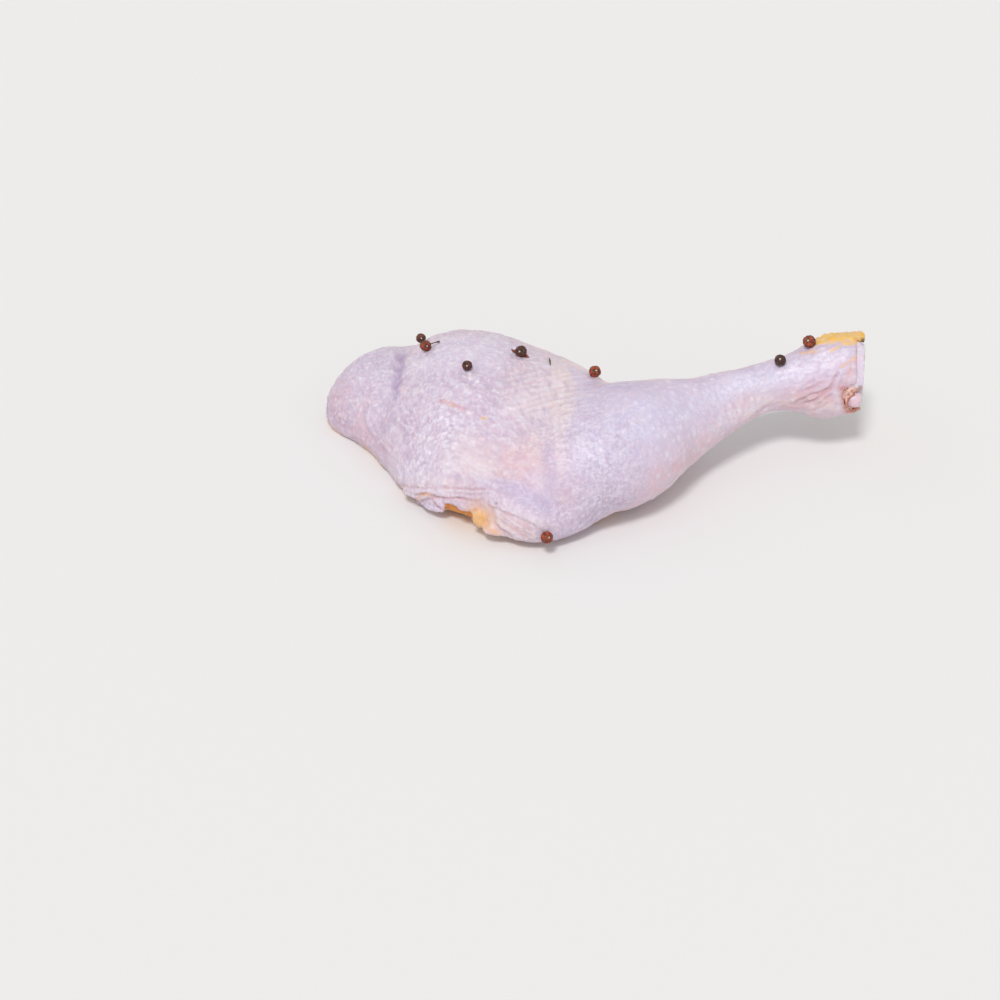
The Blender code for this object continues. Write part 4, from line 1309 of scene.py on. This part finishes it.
class Paint:
    """A Principled material whose colour is mixed from masks and noise."""

    def __init__(self, name, base):
        self.mat = bpy.data.materials.new(name)
        self.mat.use_nodes = True
        self.tree = self.mat.node_tree
        self.bsdf = self.tree.nodes["Principled BSDF"]
        self.place = self.node("ShaderNodeTexCoord").outputs["Object"]
        self.colour = None
        self.base = (*srgb(*base), 1)

    def node(self, kind, **values):
        n = self.tree.nodes.new(kind)
        for k, v in values.items():
            setattr(n, k, v)
        return n

    def link(self, a, b):
        self.tree.links.new(a, b)

    def mask(self, name):
        return self.node("ShaderNodeAttribute", attribute_name=name).outputs["Fac"]

    def noise(self, size, detail=2.0, rough=0.5, distortion=0.0, stretch=None):
        """Noise with features of about size millimetres, around 0.5, drawn out by stretch along x, y and z."""
        n = self.node("ShaderNodeTexNoise")
        place = self.place
        if stretch is not None:
            drawn = self.node("ShaderNodeVectorMath", operation="MULTIPLY")
            self.link(place, drawn.inputs[0])
            drawn.inputs[1].default_value = [1 / k for k in stretch]
            place = drawn.outputs[0]
        self.link(place, n.inputs["Vector"])
        n.inputs["Scale"].default_value = 1 / (size * MM)
        n.inputs["Detail"].default_value = detail
        n.inputs["Roughness"].default_value = rough
        n.inputs["Distortion"].default_value = distortion
        return n.outputs["Fac"]

    def net(self, size):
        n = self.node("ShaderNodeTexVoronoi", feature="DISTANCE_TO_EDGE")
        self.link(self.place, n.inputs["Vector"])
        n.inputs["Scale"].default_value = 1 / (size * MM)
        return n.outputs["Distance"]

    def math(self, how, a, b=None, clamp=False):
        n = self.node("ShaderNodeMath", operation=how, use_clamp=clamp)
        for socket, value in zip(n.inputs, (a, b)):
            if value is None:
                continue
            if isinstance(value, (int, float)):
                socket.default_value = value
            else:
                self.link(value, socket)
        return n.outputs[0]

    def ramp(self, value, lo, hi, out_lo=0.0, out_hi=1.0):
        n = self.node("ShaderNodeMapRange", interpolation_type="SMOOTHSTEP")
        self.link(value, n.inputs["Value"])
        for key, v in (("From Min", lo), ("From Max", hi), ("To Min", out_lo), ("To Max", out_hi)):
            n.inputs[key].default_value = v
        return n.outputs["Result"]

    def mix(self, colour, factor):
        n = self.node("ShaderNodeMix", data_type="RGBA")
        if self.colour is None:
            n.inputs[6].default_value = self.base
        else:
            self.link(self.colour, n.inputs[6])
        n.inputs[7].default_value = (*srgb(*colour), 1)
        self.link(factor, n.inputs[0])
        self.colour = n.outputs[2]

    def finish(self, rough, heights, **sockets):
        """rough is a value or socket; heights are (socket, distance in mm) pairs for the fine relief."""
        if self.colour is None:
            self.bsdf.inputs["Base Color"].default_value = self.base
        else:
            self.link(self.colour, self.bsdf.inputs["Base Color"])
        if isinstance(rough, (int, float)):
            self.bsdf.inputs["Roughness"].default_value = rough
        else:
            self.link(rough, self.bsdf.inputs["Roughness"])
        last = None
        for height, distance in heights:
            n = self.node("ShaderNodeBump")
            n.inputs["Distance"].default_value = distance * MM
            self.link(height, n.inputs["Height"])
            if last is not None:
                self.link(last, n.inputs["Normal"])
            last = n.outputs["Normal"]
        if last is not None:
            self.link(last, self.bsdf.inputs["Normal"])
        for name, value in sockets.items():
            self.bsdf.inputs[name.replace("_", " ")].default_value = value
        return self.mat


def skin_material():
    m = Paint("skin", (221, 205, 219))
    fine = m.noise(1.3, 3.0, 0.6)
    blotch = m.noise(4.5, 3.0, 0.55)
    wide = m.noise(14.0, 2.0, 0.5)
    grain = m.noise(0.7, 2.0, 0.6)
    # cool, bluish lilac and warmer pink, mottled into each other
    m.mix((207, 196, 223), m.math("MULTIPLY", m.mask("cool"), m.ramp(blotch, 0.3, 0.7, 0.35, 1.0), True))
    # pink skin, with painted warm bounce light low on the drumstick
    m.mix((232, 196, 202), m.math("MULTIPLY", m.mask("pink_and_warm_bounce"), m.ramp(blotch, 0.32, 0.68, 0.25, 1.0), True))
    m.mix((244, 224, 214), m.math("MULTIPLY", m.mask("cream"), m.ramp(blotch, 0.25, 0.7, 0.6, 1.0), True))
    # pale skin and painted highlights
    m.mix((240, 236, 248), m.math("MULTIPLY", m.mask("pale_and_highlight"), m.ramp(fine, 0.35, 0.7, 0.2, 0.9), True))
    m.mix((214, 176, 190), m.ramp(m.math("ADD", m.math("MULTIPLY", fine, 0.6), m.math("MULTIPLY", wide, 0.4)), 0.56, 0.72, 0.0, 0.42))
    m.mix((218, 172, 174), m.math("MULTIPLY", m.mask("rose"), m.ramp(blotch, 0.3, 0.65, 0.3, 0.65), True))
    # lilac tone and painted shade
    m.mix((194, 178, 208), m.math("MULTIPLY", m.mask("lilac_and_shade"), m.ramp(wide, 0.3, 0.7, 0.65, 0.9), True))
    # painted bluish highlight
    m.mix((216, 217, 244), m.math("MULTIPLY", m.mask("blue_highlight"), m.ramp(blotch, 0.3, 0.7, 0.35, 0.6), True))
    # fine pebbling everywhere, and fine streaks that run up the thigh
    pebble, brush = m.noise(1.0, 3.0, 0.65), m.noise(1.2, 3.0, 0.6, 0.4, (1.0, 4.5, 4.5))
    m.mix((198, 174, 198), m.math("MULTIPLY", m.mask("pebble"), m.ramp(pebble, 0.30, 0.45, 0.45, 0.0), True))
    m.mix((247, 242, 250), m.math("MULTIPLY", m.mask("pebble"), m.ramp(pebble, 0.55, 0.70, 0.0, 0.40), True))
    m.mix((196, 170, 192), m.math("MULTIPLY", m.mask("brush"), m.ramp(brush, 0.32, 0.47, 0.6, 0.0), True))
    m.mix((247, 243, 252), m.math("MULTIPLY", m.mask("brush"), m.ramp(brush, 0.53, 0.68, 0.0, 0.6), True))
    # painted highlight on ridges, wrinkle crests and follicle tops
    m.mix((245, 240, 248), m.math("MULTIPLY", m.mask("highlight_and_light_tone"), m.ramp(grain, 0.25, 0.75, 0.45, 0.95), True))
    # painted shade in creases and wrinkles, and reddish painted shade in the warmer ones
    m.mix((176, 152, 184), m.math("MULTIPLY", m.mask("painted_crease_shade"), 0.9, True))
    m.mix((204, 140, 138), m.math("MULTIPLY", m.mask("warm_crease_shade"), 0.85, True))
    m.mix((214, 132, 128), m.math("MULTIPLY", m.mask("red"), m.ramp(fine, 0.35, 0.65, 0.3, 1.0), True))
    m.mix((240, 194, 166), m.math("MULTIPLY", m.mask("peach"), m.ramp(fine, 0.25, 0.6, 0.5, 1.0), True))
    m.mix((250, 196, 70), m.math("MULTIPLY", m.mask("yellow"), m.ramp(fine, 0.3, 0.65, 0.78, 1.0), True))
    m.mix((196, 104, 70), m.math("MULTIPLY", m.mask("orange"), m.ramp(fine, 0.32, 0.62, 0.35, 1.0), True))
    m.mix((236, 184, 124), m.math("MULTIPLY", m.mask("fat"), m.ramp(fine, 0.2, 0.6, 0.8, 1.0), True))
    m.mix((218, 140, 50), m.math("MULTIPLY", m.mask("flesh"), m.ramp(fine, 0.2, 0.6, 0.8, 1.0), True))
    m.mix((232, 196, 150), m.math("MULTIPLY", m.mask("tissue"), 0.35, True))
    # dark spots and painted shade in the hollow at the top of the cut
    m.mix((84, 66, 52), m.math("MULTIPLY", m.mask("dark_and_hollow_shade"), 0.9, True))
    rough = m.math("SUBTRACT", m.ramp(blotch, 0.3, 0.7, 0.40, 0.52), m.math("MULTIPLY", m.mask("wet"), 0.12))
    return m.finish(rough, [(m.net(1.25), 0.12), (fine, 0.20), (grain, 0.09)],
                    Subsurface_Weight=0.3, Subsurface_Radius=(1.0, 0.5, 0.4), Subsurface_Scale=1.8 * MM,
                    Coat_Weight=0.14, Coat_Roughness=0.30, IOR=1.42)


def bone_material():
    m = Paint("bone", (232, 222, 230))
    fine, spots = m.noise(0.9, 3.0, 0.6), m.noise(1.8, 2.0, 0.5)
    m.mix((222, 178, 158), m.ramp(spots, 0.5, 0.75, 0.0, 0.5))
    m.mix((212, 98, 48), m.mask("core"))
    m.mix((224, 122, 72), m.math("MULTIPLY", m.mask("heart"), m.ramp(spots, 0.4, 0.65, 0.0, 0.6), True))
    m.mix((232, 166, 130), m.math("MULTIPLY", m.math("MULTIPLY", m.mask("heart"), m.mask("lower")), m.ramp(spots, 0.3, 0.6, 0.4, 0.95), True))
    m.mix((184, 72, 34), m.math("MULTIPLY", m.mask("rim"), m.ramp(fine, 0.35, 0.65, 0.3, 0.8), True))
    # painted sheen on the upper oval
    m.mix((236, 170, 160), m.math("MULTIPLY", m.mask("painted_sheen"), m.ramp(fine, 0.4, 0.6, 0.2, 0.8), True))
    m.mix((214, 184, 160), m.math("MULTIPLY", m.mask("shaft"), 0.8, True))
    return m.finish(m.ramp(spots, 0.3, 0.7, 0.28, 0.42), [(fine, 0.16)],
                    Subsurface_Weight=0.25, Subsurface_Radius=(1.0, 0.4, 0.3), Subsurface_Scale=1.2 * MM,
                    Coat_Weight=0.35, Coat_Roughness=0.2, IOR=1.42)


def tissue_material():
    m = Paint("hock_tissue", (204, 106, 76))
    fine, spots = m.noise(0.8, 3.0, 0.6), m.noise(2.4, 2.0, 0.5)
    m.mix((226, 156, 136), m.ramp(spots, 0.45, 0.7, 0.0, 0.75))
    curls = m.noise(2.6, 1.0, 0.4, 1.6)
    m.mix((236, 206, 206), m.math("MULTIPLY", m.mask("gape"), m.ramp(spots, 0.3, 0.6, 0.85, 1.0), True))
    m.mix((172, 84, 54), m.math("MULTIPLY", m.mask("gape"), m.ramp(curls, 0.53, 0.60, 0.0, 0.9), True))
    # darker red deeper in the cut: painted shade of the recess on the red flesh
    m.mix((172, 68, 38), m.math("MULTIPLY", m.mask("deep"), m.ramp(fine, 0.3, 0.7, 0.4, 0.9), True))
    m.mix((232, 180, 156), m.math("MULTIPLY", m.mask("shred"), m.ramp(fine, 0.35, 0.65, 0.15, 0.9), True))
    m.mix((240, 214, 176), m.math("MULTIPLY", m.mask("sinew"), m.ramp(spots, 0.3, 0.7, 0.6, 1.0), True))
    m.mix((226, 214, 232), m.math("MULTIPLY", m.mask("white"), m.ramp(fine, 0.2, 0.6, 0.8, 1.0), True))
    m.mix((240, 230, 236), m.math("MULTIPLY", m.mask("white"), m.ramp(spots, 0.5, 0.7, 0.0, 0.8), True))
    m.mix((226, 186, 192), m.math("MULTIPLY", m.mask("knob"), m.ramp(fine, 0.3, 0.65, 0.2, 0.8), True))
    m.mix((170, 78, 46), m.math("MULTIPLY", m.math("MULTIPLY", m.mask("ring"), 0.95), m.ramp(fine, 0.35, 0.6, 0.6, 1.0), True))
    # painted shade in the hollow at the top of the cut
    m.mix((84, 66, 52), m.math("MULTIPLY", m.mask("dark_and_hollow_shade"), 0.85, True))
    return m.finish(m.ramp(spots, 0.3, 0.7, 0.26, 0.4), [(fine, 0.14)],
                    Subsurface_Weight=0.3, Subsurface_Radius=(1.0, 0.4, 0.3), Subsurface_Scale=1.5 * MM,
                    Coat_Weight=0.35, Coat_Roughness=0.2, IOR=1.42)


def pepper_material():
    m = Paint("peppercorns", (44, 26, 23))
    fine, spots = m.noise(0.35, 3.0, 0.6), m.noise(1.1, 2.0, 0.5)
    m.mix((188, 80, 40), m.math("MULTIPLY", m.mask("tone"), m.ramp(spots, 0.38, 0.62, 0.2, 1.0), True))
    # painted highlight on the crests of the wrinkles
    m.mix((176, 136, 116), m.math("MULTIPLY", m.mask("highlight_and_light_tone"), m.ramp(fine, 0.46, 0.62, 0.0, 0.75), True))
    # painted glint: the stalk's scar painted pale, inside a darker ring
    m.mix((28, 16, 14), m.ramp(m.mask("scar_and_glint"), 0.08, 0.35, 0.0, 0.75))
    m.mix((222, 198, 182), m.ramp(m.mask("scar_and_glint"), 0.45, 0.75, 0.0, 0.9))
    return m.finish(m.ramp(spots, 0.3, 0.7, 0.38, 0.52), [(fine, 0.08)], Specular_IOR_Level=0.3, Coat_Weight=0.15, Coat_Roughness=0.15)


def herb_material():
    m = Paint("herb_bit", (84, 74, 48))
    m.mix((122, 108, 66), m.ramp(m.noise(0.6, 2.0, 0.5), 0.4, 0.7, 0.0, 0.8))
    return m.finish(0.6, [(m.noise(0.3, 2.0, 0.5), 0.05)])


skin_mesh.materials.append(skin_material())
bone.data.materials.append(bone_material())
tissue.data.materials.append(tissue_material())
pepper.data.materials.append(pepper_material())
herb.data.materials.append(herb_material())
for piece in (skin, bone, tissue, pepper, herb):
    print(piece.name, sum(len(p.vertices) - 2 for p in piece.data.polygons), "triangles")

# ---- stage, light and camera ------------------------------------------------------------------------------------------
bm = bmesh.new()
bmesh.ops.create_grid(bm, x_segments=1, y_segments=1, size=20.0)
floor_mesh = bpy.data.meshes.new("floor")
bm.to_mesh(floor_mesh)
bm.free()
floor = new_object("floor", floor_mesh)
floor_mesh.materials.append(Paint("floor", (236, 235, 234)).finish(0.7, []))

world = bpy.data.worlds.new("world")
bpy.context.scene.world = world
world.use_nodes = True
# the sky of a pale room: as bright as the floor at the horizon, softer overhead
sky = world.node_tree
height = sky.nodes.new("ShaderNodeSeparateXYZ")
sky.links.new(sky.nodes.new("ShaderNodeTexCoord").outputs["Generated"], height.inputs[0])
fade = sky.nodes.new("ShaderNodeMapRange")
sky.links.new(height.outputs["Z"], fade.inputs["Value"])
for key, value in (("From Min", 0.02), ("From Max", 0.45), ("To Min", 0.84), ("To Max", 0.58)):
    fade.inputs[key].default_value = value
sky.links.new(fade.outputs["Result"], sky.nodes["Background"].inputs["Color"])

sun_data = bpy.data.lights.new("sun", "SUN")
sun_data.energy = 1.55
sun_data.angle = 0.22
sun = bpy.data.objects.new("sun", sun_data)
sun.rotation_euler = Vector((-0.15, -0.50, 0.85)).to_track_quat("Z", "Y").to_euler()
bpy.context.scene.collection.objects.link(sun)

camera_data = bpy.data.cameras.new("camera")
camera_data.sensor_width = 36.0
camera_data.lens = FOCAL * 36.0 / 1000.0
camera = bpy.data.objects.new("camera", camera_data)
place = Matrix.Identity(4)
for i in range(3):
    place[i][0], place[i][1], place[i][2], place[i][3] = RIGHT[i], UP[i], BACK[i], EYE[i] * MM
camera.matrix_world = place
bpy.context.scene.collection.objects.link(camera)
bpy.context.scene.camera = camera
bpy.context.scene.view_settings.view_transform = "Standard"
